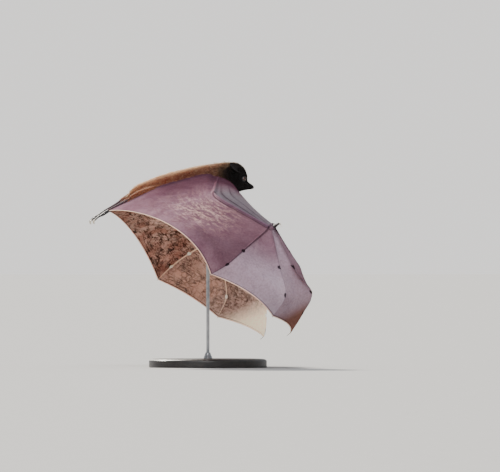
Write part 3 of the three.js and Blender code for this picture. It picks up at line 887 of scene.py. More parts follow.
# where the skin leaves the flank at x: a little inside the trunk's oval, at an angle up it
def flankPoint(x):
    rows = np.array(trunkSections, float)
    back, belly, half = (np.interp(x, rows[:, 0], rows[:, k]) for k in (1, 2, 3))
    up = np.radians(mix(*flank["degreesUp"], x / rows[0, 0]))
    inside = flank["inside"]
    z = (back + belly) / 2 + inside * np.sin(up) * (back - belly) / 2
    return [x, inside * np.cos(up) * half, z]


# a surface over four edges: the two blends of opposite edges, less that of the corners
def patch(low, high, first, last, u, v):
    u, v = u[None, :, None], v[:, None, None]
    sides = low * (1 - v) + high * v + first[:, None] * (1 - u) + last[:, None] * u
    corners = (low[0] * (1 - u) + low[-1] * u) * (1 - v) + (high[0] * (1 - u) + high[-1] * u) * v
    return sides - corners


# how far skin swells over a bone: 1 on its line, and 0 from spread radii away, by a rounded
# fall of the distance square to the line
def swelling(mid, at, way, radius, spread=1.35):
    away = np.linalg.norm(np.cross(mid - at, way), axis=-1)
    return np.clip(1 - (away / (spread * radius)) ** 2, 0, 1) ** 1.2


# a sheet: its middle surface, normals, half its thickness, a flat map and its masks
def makeSheet(mid, normal, flatSize, **masks):
    rows, columns = mid.shape[:2]
    v, u = np.meshgrid(np.linspace(0, 1, rows), np.linspace(0, 1, columns), indexing="ij")
    half = np.full((rows, columns), skin["halfThickness"])
    masks = {k: np.broadcast_to(m, (rows, columns)).astype(float) for k, m in masks.items()}
    zero = np.zeros((rows, columns))
    masks = {**{name: zero for name in sheetMasks}, **masks}
    flat = np.stack([u * flatSize[0], v * flatSize[1]], -1)
    return {"mid": mid, "normal": normal, "half": half, "flat": flat, "masks": masks}


# thickens a sheet over a bone or a limb, and marks it in the masks
def swell(sheet, at, way, radius, spread=1.35, limb=0.0, knob=0.0, bone=1.0):
    share = swelling(sheet["mid"], at, way, radius, spread)
    thin = skin["halfThickness"]
    sheet["half"] = np.maximum(sheet["half"], thin + (radius - thin) * share)
    sheet["masks"]["bone"] = np.maximum(sheet["masks"]["bone"], bone * share * (1 - limb))
    sheet["masks"]["limb"] = np.maximum(sheet["masks"]["limb"], share * limb)
    wide = swelling(sheet["mid"], at, way, radius, 2.2)
    sheet["masks"]["knob"] = np.maximum(sheet["masks"]["knob"], wide * knob)


# a knob about the wrist, which falls off with the distance squared to nothing at its reach
def swellWrist(sheet):
    away = np.linalg.norm(sheet["mid"] - wrist, axis=-1)
    share = np.clip(1 - (away / skin["wristReach"]) ** 2, 0, 1) ** 1.2
    thin = skin["halfThickness"]
    sheet["half"] = np.maximum(sheet["half"], thin + (arm["wristKnob"] - thin) * share)
    sheet["masks"]["limb"] = np.maximum(sheet["masks"]["limb"], 0.7 * share)


# more rows or columns that close a sheet beyond one of its sides: its middle moves out by
# half its thickness times the sine of a turn, and its thickness shrinks by the cosine
def closeSide(sheet, side, rounded=True, outward=None):
    axis, atEnd = (0 if side in ("first", "last") else 1), side in ("last", "right")

    # the k-th row or column from that side
    def slab(values, k=0):
        return np.take(values, [-1 - k if atEnd else k], axis=axis)

    edge, normal, half = slab(sheet["mid"]), slab(sheet["normal"]), slab(sheet["half"])
    out = edge - slab(sheet["mid"], 1) if outward is None else outward
    out = unit(out - normal * (out * normal).sum(-1, keepdims=True)) * (1 if rounded else 0)
    turns = np.radians([25, 50, 70, 90]) if rounded else [np.pi / 2]
    more = {
        "mid": [edge + out * (half * np.sin(a))[..., None] for a in turns],
        "normal": [normal for a in turns],
        "half": [half * max(np.cos(a), 0) for a in turns],
        "flat": [slab(sheet["flat"]) for a in turns],
    }

    def longer(values, extra):
        blocks = [values, *extra] if atEnd else [*extra[::-1], values]
        return np.concatenate(blocks, axis=axis)

    for key, extra in more.items():
        sheet[key] = longer(sheet[key], extra)
    for key, values in sheet["masks"].items():
        sheet["masks"][key] = longer(values, [slab(values) for a in turns])


# closes the named sides in turn
def closeSides(sheet, rounded=(), square=()):
    for side in rounded:
        closeSide(sheet, side)
    for side in square:
        closeSide(sheet, side, rounded=False)


# both faces of a sheet: its middle moved along its normals by half its thickness either way
def sheetParts(sheet, side, flip=False):
    lift = sheet["normal"] * sheet["half"][..., None]
    parts = []
    for sign, underside in ((1, 0.0), (-1, 1.0)):
        points = placed(sheet["mid"] + sign * lift, side)
        turned = (side < 0) ^ (sign < 0) ^ flip
        masks = {**sheet["masks"], "underside": underside}
        parts.append(gridPart(points, False, turned, sheet["flat"], **masks))
    return parts


# normals of two sheets made one along the edge that they share, and eased in from it
def shareNormals(one, other, reach=7):
    (sheetA, edgeA), (sheetB, edgeB) = one, other
    rows = min(sheetA["normal"][edgeA].shape[0], sheetB["normal"][edgeB].shape[0])
    shared = unit(sheetA["normal"][edgeA][:rows] + sheetB["normal"][edgeB][:rows])
    for sheet, edge in ((sheetA, edgeA), (sheetB, edgeB)):
        isRow = isinstance(edge, int)
        line = sheet["mid"][edge]
        base = shared[None] if isRow else shared[:, None]
        start = line[None] if isRow else line[:, None]
        away = np.linalg.norm(sheet["mid"] - start, axis=-1, keepdims=True)
        sheet["normal"] = unit(mix(base, sheet["normal"], fade(0, reach, away)))


# a surface sunk by a depth towards the wing's lower side, against its normals
def lowered(points, depth):
    return points - gridNormals(points, False) * depth[..., None]


# one wing: five sheets of skin over the lines of its bones, made one where they meet,
# thickened over the bones and closed at their free edges; and the ends of the fingers
def wingParts(isLeft):
    side = 1 if isLeft else -1
    lines = {name: fingerLine(name, isLeft) for name in fingers}
    rows = np.linspace(0, 1, skin["rows"]) ** skin["ease"]
    line3, line2 = lines["finger_3"], lines["finger_2"]
    share = {name: rows * reach for name, reach in skin["reach"].items()}
    at = {name: onLine(lines[name], s) for name, s in share.items()}
    way = {name: wayAlong(lines[name], s) for name, s in share.items()}
    radius = {name: fingerRadius(lines[name], s) for name, s in share.items()}
    knob = {
        name: sum(bell(s - j, 3.6 / lines[name]["length"]) for j in lines[name]["joints"][1:-1])
        for name, s in share.items()
    }

    # the big skin between body, arm, fifth finger and leg
    u = 1 - (1 - np.linspace(0, 1, skin["armColumns"])) ** skin["ease"]
    armRadius, limbShare = along(arm["radii"], u)[None, :], fade(0.3, 0.62, u)[None, :]
    whole = armLine()
    low = onLine(whole, u) + (at["finger_5"][0] - wrist) * u[:, None]
    lowWay = wayAlong(whole, u)
    flankLine = [skin["shoulder"], *map(flankPoint, flank["stations"])]
    flankLine += [knee, mix(knee, ankle, 0.5), ankle]
    first, last = smoothLine(flankLine, rows), at["finger_5"]
    leaving, arriving = np.array(skin["trailingHandles"])
    a, b, c, d = ankle, ankle + leaving, last[-1] + arriving, last[-1]
    s = u[:, None]
    high = a * (1 - s) ** 3 + 3 * b * s * (1 - s) ** 2 + 3 * c * s**2 * (1 - s) + d * s**3
    stretched = patch(low, high, first, last, u, rows)
    v, w = rows[:, None], u[None, :]
    middle = w * (1 - w) * v * (1 - v)
    mid = lowered(stretched, skin["armHollow"] * 16 * middle)
    # slack folds fan out from the elbow to the free edge, as a wave of the angle about it
    angle = np.arctan2(mid[..., 1] - elbow[1], elbow[0] - mid[..., 0])
    far = np.linalg.norm(mid - elbow, axis=-1)
    folds = np.sin(19 * angle + 1.3 * np.sin(far / 23)) * fade(25, 80, far) * (16 * middle) ** 0.7
    folds += 0.6 * np.sin(31 * angle + 2 + far / 40) * fade(50, 90, far) * 16 * middle
    mid = lowered(mid, skin["foldDepth"] * folds)
    crepe = bell(w - 0.56 + 0.1 * v, 0.2) * bell(v - 0.4, 0.36)
    armSheet = makeSheet(
        mid,
        gridNormals(mid, False),
        (0.27, 0.2),
        crepe=crepe,
        shade=fade(0.4, 0.1, w) * fade(0.95, 0.45, v),
        rear=fade(0.62, 0.05, w) * fade(0.1, 0.6, v),
        near5=fade(0.5, 0.72, w) * fade(0.97, 0.8, v),
    )

    # the skin in front of the arm, from the shoulder's front to the thumb
    start, end = np.array(skin["leadingStart"], float), onLine(lines["thumb"], np.array([0.1]))[0]
    pull = mix(start, end, 0.5) + 2 * np.array(skin["leadingSlack"], float)
    leading = bow(start, pull, end, u)
    climb = np.linspace(0, 1, skin["foreRows"])[:, None, None] ** 1.3
    mid = mix(low[None], leading[None], climb)
    hump = skin["foreBulge"] * 4 * climb * (1 - climb)
    hump = hump * np.sin(np.pi * np.minimum(u + 0.1, 1))[None, :, None]
    mid = mid + hump * np.array([0, 0, 1.0])
    up = climb[..., 0]
    cords = (bell(up - 0.2 - 0.1 * w, 0.03) + bell(up - 0.5 - 0.1 * w, 0.025)) * fade(0.12, 0.4, w)
    root = fade(0.42, 0.12, w) * np.ones_like(up)
    masks = {"fore": 1 - root, "shade": root, "cords": cords}
    foreSheet = makeSheet(mid, -gridNormals(mid, False), (0.27, 0.05), **masks)

    # the skins between fingers: straight from finger to finger, hollowed in the middle and
    # drawn along at the free edge
    t = np.linspace(0, 1, skin["handColumns"])
    u = t - 0.82 * np.sin(2 * np.pi * t) / (2 * np.pi)
    w = u[None, :]
    hand = {}
    for key, near, far in (("web54", "finger_5", "finger_4"), ("web43", "finger_4", "finger_3")):
        mid = mix(at[near][:, None], at[far][:, None], u[None, :, None])
        hollow = skin[key]["hollow"] * 4 * w * (1 - w) * np.sin(np.pi * v)
        plain = gridNormals(lowered(mid, hollow), False)
        out = 4 * w * (1 - w) * v**2
        mid = mid + out[..., None] * np.array(skin[key]["edge"], float)
        mid = lowered(mid, hollow)
        fine = np.sin(np.linalg.norm(mid - wrist, axis=-1) / 4.1 + 3 * w) * np.sin(5 * np.pi * w)
        mid = lowered(mid, 0.25 * fine * fade(0, 0.3, w) * fade(1, 0.7, w) * fade(0.15, 0.4, v))
        tip = fade(0.45, 0.95, v * mix(0.66, 1, w)) if key == "web43" else 0.3 * w * fade(0.5, 1, v)
        # by the far finger the skin's thickness stands as if its edge weren't drawn in
        eased = 0.75 * fade(0.6, 1, w)[..., None] if key == "web43" else 0.0
        hand[key] = makeSheet(
            mid,
            unit(mix(gridNormals(mid, False), plain, eased)),
            (0.11, 0.2),
            tip=tip,
            hand=fade(0.15, 0.75, v) * mix(0.6, 1, w) if key == "web54" else 0.6,
            rear=0.8 * fade(0.9, 0.6, v) * fade(0.8, 0.1, w) if key == "web43" else 0.0,
        )

    # the narrow skin before the third finger: to the second, and on to its own corner
    corner = onLine(line3, np.array([skin["reach"]["finger_3"] * skin["frontCorner"]]))[0]
    second = np.clip(rows / skin["frontCorner"], 0, 1)
    beyond = fade(skin["secondEnds"], 1, second)
    share2 = np.minimum(second / skin["secondEnds"], 1)
    outerEdge = mix(onLine(line2, share2), corner, beyond[:, None])
    isPast = rows >= skin["frontCorner"]
    outerEdge[isPast] = at["finger_3"][isPast]
    t = np.linspace(0, 1, skin["frontColumns"])
    u = t - 0.6 * np.sin(2 * np.pi * t) / (2 * np.pi)
    mid = mix(at["finger_3"][:, None], outerEdge[:, None], u[None, :, None])
    width = np.linalg.norm(outerEdge - at["finger_3"], axis=1)[:, None, None]
    edgeNormal = hand["web43"]["normal"][:, -1:]
    normal = unit(mix(edgeNormal, gridNormals(mid, False), fade(1, 6, width)))
    front = makeSheet(mid, normal, (0.03, 0.2), tip=fade(0.5, 1, v), fore=0.3)

    shareNormals((armSheet, 0), (foreSheet, 0))
    shareNormals((armSheet, (slice(None), -1)), (hand["web54"], (slice(None), 0)))
    shareNormals((hand["web54"], (slice(None), -1)), (hand["web43"], (slice(None), 0)))
    shareNormals((hand["web43"], (slice(None), -1)), (front, (slice(None), 0)))

    # a finger's bone in one of the sheets beside it
    def swellFinger(sheet, name):
        bone = 0.85 if name == "finger_5" else 0.5
        where = (values[name][:, None] for values in (at, way, radius))
        swell(sheet, *where, knob=knob[name][:, None], bone=bone)

    for sheet in (armSheet, foreSheet):
        swell(sheet, low[None], lowWay[None], armRadius, spread=1.25, limb=limbShare, bone=0.0)
    for sheet, name in (
        (armSheet, "finger_5"),
        (hand["web54"], "finger_5"),
        (hand["web54"], "finger_4"),
        (hand["web43"], "finger_4"),
        (hand["web43"], "finger_3"),
        (front, "finger_3"),
    ):
        swellFinger(sheet, name)
    radius2 = np.maximum(fingerRadius(line2, share2) * fade(1, 0.7, second), 0.4)
    swell(front, outerEdge[:, None], wayAlong(line2, share2)[:, None], radius2[:, None])
    for sheet in (armSheet, foreSheet, *hand.values(), front):
        swellWrist(sheet)

    # a free edge is a little thicker than the skin
    for sheet in (armSheet, foreSheet, *hand.values()):
        away = np.linalg.norm(sheet["mid"] - sheet["mid"][-1:], axis=-1)
        rim = bell(away, skin["rimWidth"])
        sheet["half"] = np.maximum(sheet["half"], mix(skin["halfThickness"], skin["rimHalf"], rim))
        sheet["masks"]["edge"] = rim * (0.25 if sheet is foreSheet else 1)
    closeSides(armSheet, rounded=["last"], square=["left"])
    closeSides(foreSheet, rounded=["last"], square=["left", "right"])
    for sheet in hand.values():
        closeSides(sheet, rounded=["last"], square=["first"])
    forward = (outerEdge - at["finger_3"]) + 0.5 * unit(at["finger_3"] - at["finger_4"])
    closeSide(front, "right", outward=forward[:, None])
    closeSides(front, square=["last", "first"])

    parts = sheetParts(armSheet, side) + sheetParts(foreSheet, side, flip=True)
    for sheet in (*hand.values(), front):
        parts += sheetParts(sheet, side)

    # the wrist's knob and the fingers' free ends
    ball = measured(straight(wrist - 2 * unit(wrist - elbow), wrist + 3 * unit(wrist - elbow), 20))
    knobs = tube(ball, np.linspace(0, 1, 6), np.full(6, arm["wristKnob"] * 0.93), 28)
    parts.append(gridPart(placed(knobs, side), limb=0.8))
    thinning = mix(0.9, 0.55, fade(0.2, 1, np.linspace(0, 1, 14)))
    for name, free in skin["freeFrom"].items():
        shares = np.linspace(free, 1, 14)
        radii = fingerRadius(lines[name], shares) * thinning
        tips = tube(lines[name], shares, radii, 14, upward=(0.3, 0.2, 1))
        parts.append(gridPart(placed(tips, side), bone=1.0, tip=0.6 if name == "finger_3" else 0.1))
    return parts, lines


print("the wings' lines are set out")


# the small skin between the legs: from the rump's bow to each ankle, along the inside of the leg
tailWeb = {
    "rump": [-160, 5, -33],
    "slack": [12, -5, 2],
    "rows": 30,
    "columns": 18,
    "from": 0.3,
    "arch": 1.6,
    "rimWidth": 1.4,
}


# its outer edge follows the leg, its inner one is a bow; straight between them, and arched up
# a little as a product of two sines
def tailWebSheet():
    bend = smoothLine([leg["hip"], knee, mix(knee, ankle, 0.5), ankle], np.linspace(0, 1, 120))
    outer = onLine(measured(bend), np.linspace(tailWeb["from"], 0.97, tailWeb["rows"]))
    rump = np.array(tailWeb["rump"], float)
    pull = mix(rump, outer[-1], 0.5) + 2 * np.array(tailWeb["slack"], float)
    inner = bow(rump, pull, outer[-1], np.linspace(0, 1, tailWeb["rows"]))
    across = np.linspace(0, 1, tailWeb["columns"])[None, :, None]
    mid = mix(inner[:, None], outer[:, None], across)
    arch = np.sin(np.pi * across) * np.sin(np.pi * np.linspace(0, 1, tailWeb["rows"]))[:, None, None]
    mid = mid + tailWeb["arch"] * arch * np.array([0, 0, 1.0])
    normal = gridNormals(mid, False)
    normal = unit(normal + np.array([0, 0, 1e-6])) * np.sign(normal[..., 2].sum())
    sheet = makeSheet(mid, normal, (0.03, 0.07), shade=1.0, rear=1.0)
    rim = bell(np.linalg.norm(mid - mid[:, :1], axis=-1), tailWeb["rimWidth"])
    sheet["half"] = np.maximum(sheet["half"], mix(skin["halfThickness"], skin["rimHalf"], rim))
    sheet["masks"]["edge"] = 0.6 * rim
    closeSides(sheet, rounded=["left"], square=["right", "first", "last"])
    return sheet


wingLines = {}
for word, isLeft in (("left", True), ("right", False)):
    parts, wingLines[word] = wingParts(isLeft)
    wing = makePiece(f"wing_{word}", parts, wingMembrane)
    names = ["forearm", "finger_2", "finger_3", "finger_4", "finger_5"]
    names += ["arm_web", "fore_web", "web_5_4", "web_4_3", "web_3_2"]
    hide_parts(*(f"{name}_{word}" for name in names))
    side = 1 if isLeft else -1
    web = makePiece(f"tail_web_skin_{word}", sheetParts(tailWebSheet(), side), wingMembrane)
    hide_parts(f"tail_web_{word}")
    print(f"{word} wing:", len(wing.data.polygons), "faces")

# The body's outline from rump to nose as slanting cuts: where the back is, where the belly
# is, half the width, how far up it is widest, and the depth of the coat.
body = {
    "cuts": [
        (-173, -24, -173, -30, 3, 0, 1.2),
        (-168, -18, -168, -36, 10, 0, 3.2),
        (-158, -11, -158, -42, 17, 0, 5),
        (-138, -3, -138, -46, 24, 0, 6),
        (-112, 7, -112, -49, 31, 0.05, 6),
        (-79, 18, -79, -50, 36, 0.1, 6),
        (-44, 28, -44, -48, 38.5, 0.12, 6),
        (-14, 34, -14, -43, 38.5, 0.12, 6.5),
        (8, 37.8, 6, -35, 35, 0.12, 7),
        (26, 39.8, 17, -30.5, 30, 0.12, 7),
        (38.6, 40.3, 25, -27, 25, 0.15, 6),
        (47.3, 37.2, 31.5, -24.5, 20.5, 0.25, 4.4),
        (55.2, 30.7, 37.5, -22.3, 17.6, 0.33, 3),
        (59.5, 21.4, 43, -20, 14.8, 0.36, 2),
        (61.6, 12.1, 48.5, -18, 11.6, 0.34, 1.4),
        (62.8, 4.2, 54, -16.6, 8.8, 0.28, 1),
        (67, -0.6, 60.2, -15.2, 7.3, 0.12, 0.6),
        (72.9, -4.5, 66.6, -14.3, 6.5, 0.05, 0.4),
        (75.5, -6.8, 70.4, -14, 5, 0, 0.25),
        (76.0, -8.7, 72.6, -13.4, 2.9, 0, 0.15),
    ],
    "columns": 240,
    "spacing": (1.8, 0.5),
    "rumpBulge": 2.5,
    "noseBulge": 1.3,
}
face = {
    "eye": {"behind": 27.5, "up": 2.2, "aside": 10.2, "radius": 5.3},
    "gaze": (0.42, 0.9, 0.12),
    "mouthUp": (-3.1, -0.17),
    "mouthEnds": 22,
    "nostril": (0.9, 1.9, 0.7),
}


# the head's own measures of a point: behind the nose's tip, across, and up from its axis
def headMeasures(points):
    turn = np.radians(bat["headPitch"])
    x, y, z = np.moveaxis(points - noseTip, -1, 0)
    return z * np.sin(turn) - x * np.cos(turn), y, x * np.sin(turn) + z * np.cos(turn)


# a place from the head's own measures
def headPoint(behind, across, up):
    turn = np.radians(bat["headPitch"])
    x = up * np.sin(turn) - behind * np.cos(turn)
    z = behind * np.sin(turn) + up * np.cos(turn)
    return noseTip + np.stack(np.broadcast_arrays(x, across, z), -1)


# how far up the mouth's line runs: a slope, with a rise at the corner
def mouthHeight(behind):
    start, slope = face["mouthUp"]
    return start + slope * behind + 1.3 * fade(15, 23, behind)


# how far the skin of the head stands out or in, as a sum of bells and one long groove
def headRelief(points):
    behind, across, up = headMeasures(points)
    aside = np.abs(across)
    eye = face["eye"]
    relief = -1.5 * bell(behind - eye["behind"], 4.8) * bell(up - eye["up"], 4.6) * fade(4, 8, aside)
    relief += 1.3 * bell(behind - 28, 5.5) * bell(up - 9.6, 2.8) * fade(4, 7.5, aside)
    relief += 1.1 * bell(behind - 42, 8) * bell(up + 4, 6.5) * fade(6, 12, aside)
    relief -= 0.8 * bell(behind - 19.5, 3.2) * bell(up - 0.5, 3) * fade(2, 6, aside)
    above = up - mouthHeight(behind)
    front = fade(-0.5, 1.2, behind)
    relief += 0.65 * bell(behind - 6, 7) * bell(above - 2.4, 1.9) * fade(1.2, 4, aside)
    relief -= 0.45 * fade(-0.2, -1.4, above) * fade(22, 14, behind) * front
    relief -= 0.95 * bell(above, 0.5) * fade(face["mouthEnds"] + 2, face["mouthEnds"] - 2, behind)
    behindN, acrossN, upN = face["nostril"]
    away = np.sqrt((aside - acrossN) ** 2 + (up - upN) ** 2 + 0.5 * (behind - behindN) ** 2)
    slit = np.sqrt((aside - acrossN - 0.7) ** 2 + (up - upN - 0.2) ** 2 * 4 + 0.2 * (behind - 1.6) ** 2)
    nose = fade(6, 3, behind)
    relief += nose * (0.5 * bell(away, 1.8) - 1.5 * bell(away, 0.8) - 0.7 * bell(slit, 0.6))
    relief -= 0.5 * bell(across, 0.4) * fade(4, 2, behind) * fade(-3.4, -2.4, up)
    bumps = np.sin(behind * 1.9) * np.sin(aside * 2.3 + up) * 0.05 * fade(12, 3, behind)
    return relief + bumps


# the trunk and head: round each cut a superposed oval, up = tall (cos t + widest sin^2 t) and
# across = half sin t, the cuts joined by smooth lines from rump to nose
def bodyGrid(inset):
    cuts = np.array(body["cuts"], float)
    ends = cuts[:, :2], cuts[:, 2:4]
    reach = np.maximum(*(np.linalg.norm(np.diff(e, axis=0), axis=1) for e in ends))
    spacing = np.interp(ends[0][1:, 0], [15, 45], body["spacing"])
    counts = np.ceil(reach / spacing).astype(int)
    t = np.concatenate([k + np.linspace(0, 1, n, endpoint=False) for k, n in enumerate(counts)])
    t = np.append(t, len(counts))
    back, belly, rest = (smoothLine(b, t / len(counts)) for b in np.split(cuts, [2, 4], axis=1))
    half, widest, coat = rest.T
    coat = np.maximum(coat, 0.12)
    centre, tall = (back + belly) / 2, np.linalg.norm(back - belly, axis=1) / 2
    up2 = unit(back - belly)
    # the ends are rounded off by cuts that shrink as a cosine and move on as a sine
    turns = np.radians([0, 20, 40, 58, 74])
    rump = [(centre[0] + [-body["rumpBulge"] * np.cos(a), 0], np.sin(a)) for a in turns]
    ahead = np.array([0.81, -0.59]) * body["noseBulge"]
    nose = [(centre[-1] + ahead * np.cos(a), np.sin(a)) for a in turns[::-1]]
    (rumpCentres, rumpScales), (noseCentres, noseScales) = zip(*rump), zip(*nose)
    centre = np.vstack([rumpCentres, centre, noseCentres])
    scale = np.concatenate([rumpScales, np.ones(len(half)), noseScales])
    half, widest, coat, tall = (np.pad(x, len(turns), mode="edge") for x in (half, widest, coat, tall))
    up2 = np.pad(up2, ((len(turns), len(turns)), (0, 0)), mode="edge")
    half, tall = (half - inset * coat) * scale, (tall - inset * coat) * scale
    turn = np.linspace(0, 2 * np.pi, body["columns"], endpoint=False)[None, :]
    upward = tall[:, None] * (np.cos(turn) + widest[:, None] * np.sin(turn) ** 2)
    points = np.stack(
        [
            centre[:, :1] + up2[:, :1] * upward,
            half[:, None] * np.sin(turn),
            centre[:, 1:] + up2[:, 1:] * upward,
        ],
        -1,
    )
    normals = gridNormals(points)
    if (normals * (points - points.mean(1, keepdims=True))).sum() < 0:
        normals = -normals
    normals[[0, -1]] = normals[[1, -2]].mean(1, keepdims=True)
    isHead = fade(20, 34, points[..., 0])
    # the flesh rolls a little under the coat: shoulder blades and haunches
    x, y, z = np.moveaxis(points, -1, 0)
    roll = 1.5 * bell(x + 20, 18) * bell(np.abs(y) - 17, 9) * fade(10, 22, z)
    roll -= 1.0 * bell(x + 12, 26) * bell(y, 6) * fade(10, 22, z)
    roll += 1.2 * bell(x + 130, 16) * bell(np.abs(y) - 14, 7)
    relief = headRelief(points) * isHead * (scale[:, None] > 0) + roll
    points = points + normals * relief[..., None]
    share = np.concatenate([[0], np.cumsum(np.linalg.norm(np.diff(centre, axis=0), axis=1))])
    return {
        "points": points,
        "bodyShare": share / share[-1],
        "dorsal": np.cos(turn) * np.ones((len(share), 1)),
        "coat": coat[:, None] * np.ones_like(turn),
    }


# the arm down to the elbow and the leg down to the ankle, as tubes that leave the trunk
limbs = {
    "arm": {
        "from": (-1, 12, -1),
        "end": 0.93,
        "radii": (12, 9, 6.6, 5.2, 3.8),
        "coat": (4, 3, 2, 1, 0.4),
    },
    "leg": {"coat": (4, 3.6, 3, 2.4, 1.9, 1.5, 1.1, 0.8, 0.6, 0.4)},
    "columns": 40,
}


# a limb as rings about its line; dorsal is the cosine of the turn round it
def limbGrid(name, side):
    if name == "arm":
        start = np.array(limbs["arm"]["from"], float)
        line = measured(straight(start, mix(start, elbow, limbs["arm"]["end"]), 80))
        radii, coats = limbs["arm"]["radii"], limbs["arm"]["coat"]
    else:
        bend = [leg["hip"], mix(np.array(leg["hip"]), knee, 0.8), mix(knee, ankle, 0.16), ankle]
        line = measured(smoothLine(bend, np.linspace(0, 1, 120)))
        radii, coats = leg["radii"], limbs["leg"]["coat"]
    shares = np.linspace(0, 1, 48)
    points = placed(tube(line, shares, along(radii, shares), limbs["columns"], bulge=0.6), side)
    rows = len(points)
    reach = np.clip((np.arange(rows) - 4) / (rows - 9), 0, 1)
    turn = np.linspace(0, 2 * np.pi, limbs["columns"], endpoint=False)[None, :]
    return {
        "points": points,
        "bodyShare": 0.62 - 0.06 * reach if name == "arm" else 0.2 - 0.12 * reach,
        "dorsal": 0.6 * np.cos(turn) * np.ones((rows, 1)),
        "coat": along(coats, reach)[:, None] * np.ones_like(turn),
        "shin": fade(0.3, 0.62, reach)[:, None] * (name == "leg") * np.ones_like(turn),
        "flow": 1,
    }


# a closed grid's normals turned outwards; the rows at its poles take their neighbours' mean
def outwardNormals(points):
    normals = gridNormals(points)
    normals[[0, -1]] = normals[[1, -2]].mean(1, keepdims=True)
    middle = points.mean(1, keepdims=True)
    return unit(normals) * np.sign((normals * (points - middle)).sum())


trunkGrid = bodyGrid(inset=1.0)
trunkMillimetres = trunkGrid["points"]
trunkGrid["points"] = placed(trunkMillimetres)
trunkGrid["flow"] = -1
limbGrids = {
    f"{name}_{word}": limbGrid(name, side)
    for name in ("arm", "leg")
    for word, side in (("left", 1), ("right", -1))
}


# 1 on the nose, the lips and round the eyes
def bareMask():
    behind, across, up = headMeasures(trunkMillimetres)
    eye = face["eye"]
    nose = fade(3.4, 2.2, behind + 0.25 * np.abs(up - 0.5)) * fade(-3.6, -2.4, up)
    lips = bell(up - mouthHeight(behind), 0.9) * fade(24, 18, behind) * fade(30, 22, behind)
    away = np.sqrt((behind - eye["behind"]) ** 2 + (up - eye["up"]) ** 2 + (np.abs(across) - 13) ** 2)
    lids = bell(away, 6)
    return np.clip(nose + 0.8 * lips + lids, 0, 1) * (trunkMillimetres[..., 0] > 20)


trunkGrid["bare"] = bareMask()
skinParts = []
for grid in (trunkGrid, *limbGrids.values()):
    grid["normals"] = outwardNormals(grid["points"])
    grid["bodyShare"] = np.broadcast_to(grid["bodyShare"][:, None], grid["dorsal"].shape)
    marks = {name: grid.get(name, 0.0) for name in ("bodyShare", "dorsal", "bare", "shin")}
    skinParts.append(gridPart(grid["points"], **marks))
bodySkin = makePiece("body_skin", skinParts, skinUnderCoat)
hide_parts("head", "neck", "trunk")
for word in ("left", "right"):
    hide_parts(f"upper_arm_{word}", f"thigh_{word}", f"shank_{word}")
print("body skin:", len(bodySkin.data.polygons), "faces")


# An ear: its root on the head, the way it is laid back, and its own sizes.
ears = {
    "root": [47, 12, 23],
    "way": [-26, 19, 13],
    "across": [0.35, -0.35, 0.87],
    "length": 37,
    "halfWidth": 9.5,
    "roll": (1.4, 0.8),
    "rows": 64,
    "columns": 48,
    "thickness": (1.1, 0.35),
}


# a pointed leaf rolled into a cup: across it an arc whose half width swells and closes as a
# sine of the way up; cross ribs and a rolled rim stand on it
def earSheet():
    v = np.linspace(-0.06, 1, ears["rows"])[:, None, None]
    u = np.linspace(-1, 1, ears["columns"])[None, :, None]
    way = unit(np.array(ears["way"], float))
    opening = unit(np.cross(ears["across"], way))
    across = np.cross(way, opening)
    breadth = np.clip(np.sin(np.pi * mix(0.24, 0.985, v)), 0, 1) ** 0.8
    half, roll = ears["halfWidth"] * breadth, mix(*ears["roll"], v)
    turn = u * roll
    ribs = 0.16 * np.sin(44 * v + 3 * u**2) * (1 - u**2) * fade(0, 0.3, v) * fade(1, 0.8, v)
    rim = -0.8 * fade(0.86, 1, np.abs(u)) * fade(0, 0.25, v)
    depth = -(half / roll) * (1 - np.cos(turn)) - 3 * v**2 + ribs - rim
    points = np.array(ears["root"]) + way * ears["length"] * v
    points = points + across * (half / roll) * np.sin(turn) + opening * depth
    normal = gridNormals(points, False)
    normal = normal * np.sign((normal * opening).sum())
    sheet = makeSheet(points, normal, (0.02, 0.04))
    sheet["half"] = mix(*ears["thickness"], v[..., 0]) / 2 * np.ones_like(u[..., 0])
    sheet["half"] = sheet["half"] + 0.12 * np.abs(u[..., 0]) ** 8
    closeSides(sheet, rounded=["left", "right", "last"], square=["first"])
    return sheet


# The eyes: the lids' opening in degrees, and their outline as degrees beyond its rim and
# millimetres out from the ball, first outside and then back inside.
eyes = {
    "lidOpening": (50, 35),
    "lidPower": 1.7,
    "lidGap": 0.22,
    "beyond": [0, 0.8, 2, 3.5, 5.5, 8, 11, 14, 17, 20, 24, 28, 33, 38, 44, 50, 50, 30, 12, 3, 0],
    "out": [-0.2, 0.12, 0.34, 0.46, 0.5, 0.45, 0.36, 0.42, 0.46, 0.34, 0.3, 0.34, 0.2, -0.1,
            -0.6, -1.3, -2.2, -1.4, -0.9, -0.7, -0.2],
    "cornea": 0.07,
    "rows": 48,
    "columns": 72,
}


# the middle of an eye
def eyeCentre(side):
    eye = face["eye"]
    return headPoint(eye["behind"], side * eye["aside"], eye["up"])


# points on a ball about the eye's middle: turned from the gaze by one angle, round it by another
def aboutGaze(side, turn, around, radius):
    gaze = face["gaze"]
    origin = headPoint(0, 0, 0)
    ahead = unit(headPoint(-gaze[0], gaze[1] * side, gaze[2]) - origin)
    over = headPoint(0, 0, 1) - origin
    over = unit(over - ahead * (over * ahead).sum())
    beside = np.cross(over, ahead)
    ring = beside * np.cos(around)[..., None] + over * np.sin(around)[..., None]
    way = ahead * np.cos(turn)[..., None] + ring * np.sin(turn)[..., None]
    return eyeCentre(side) + way * radius[..., None]


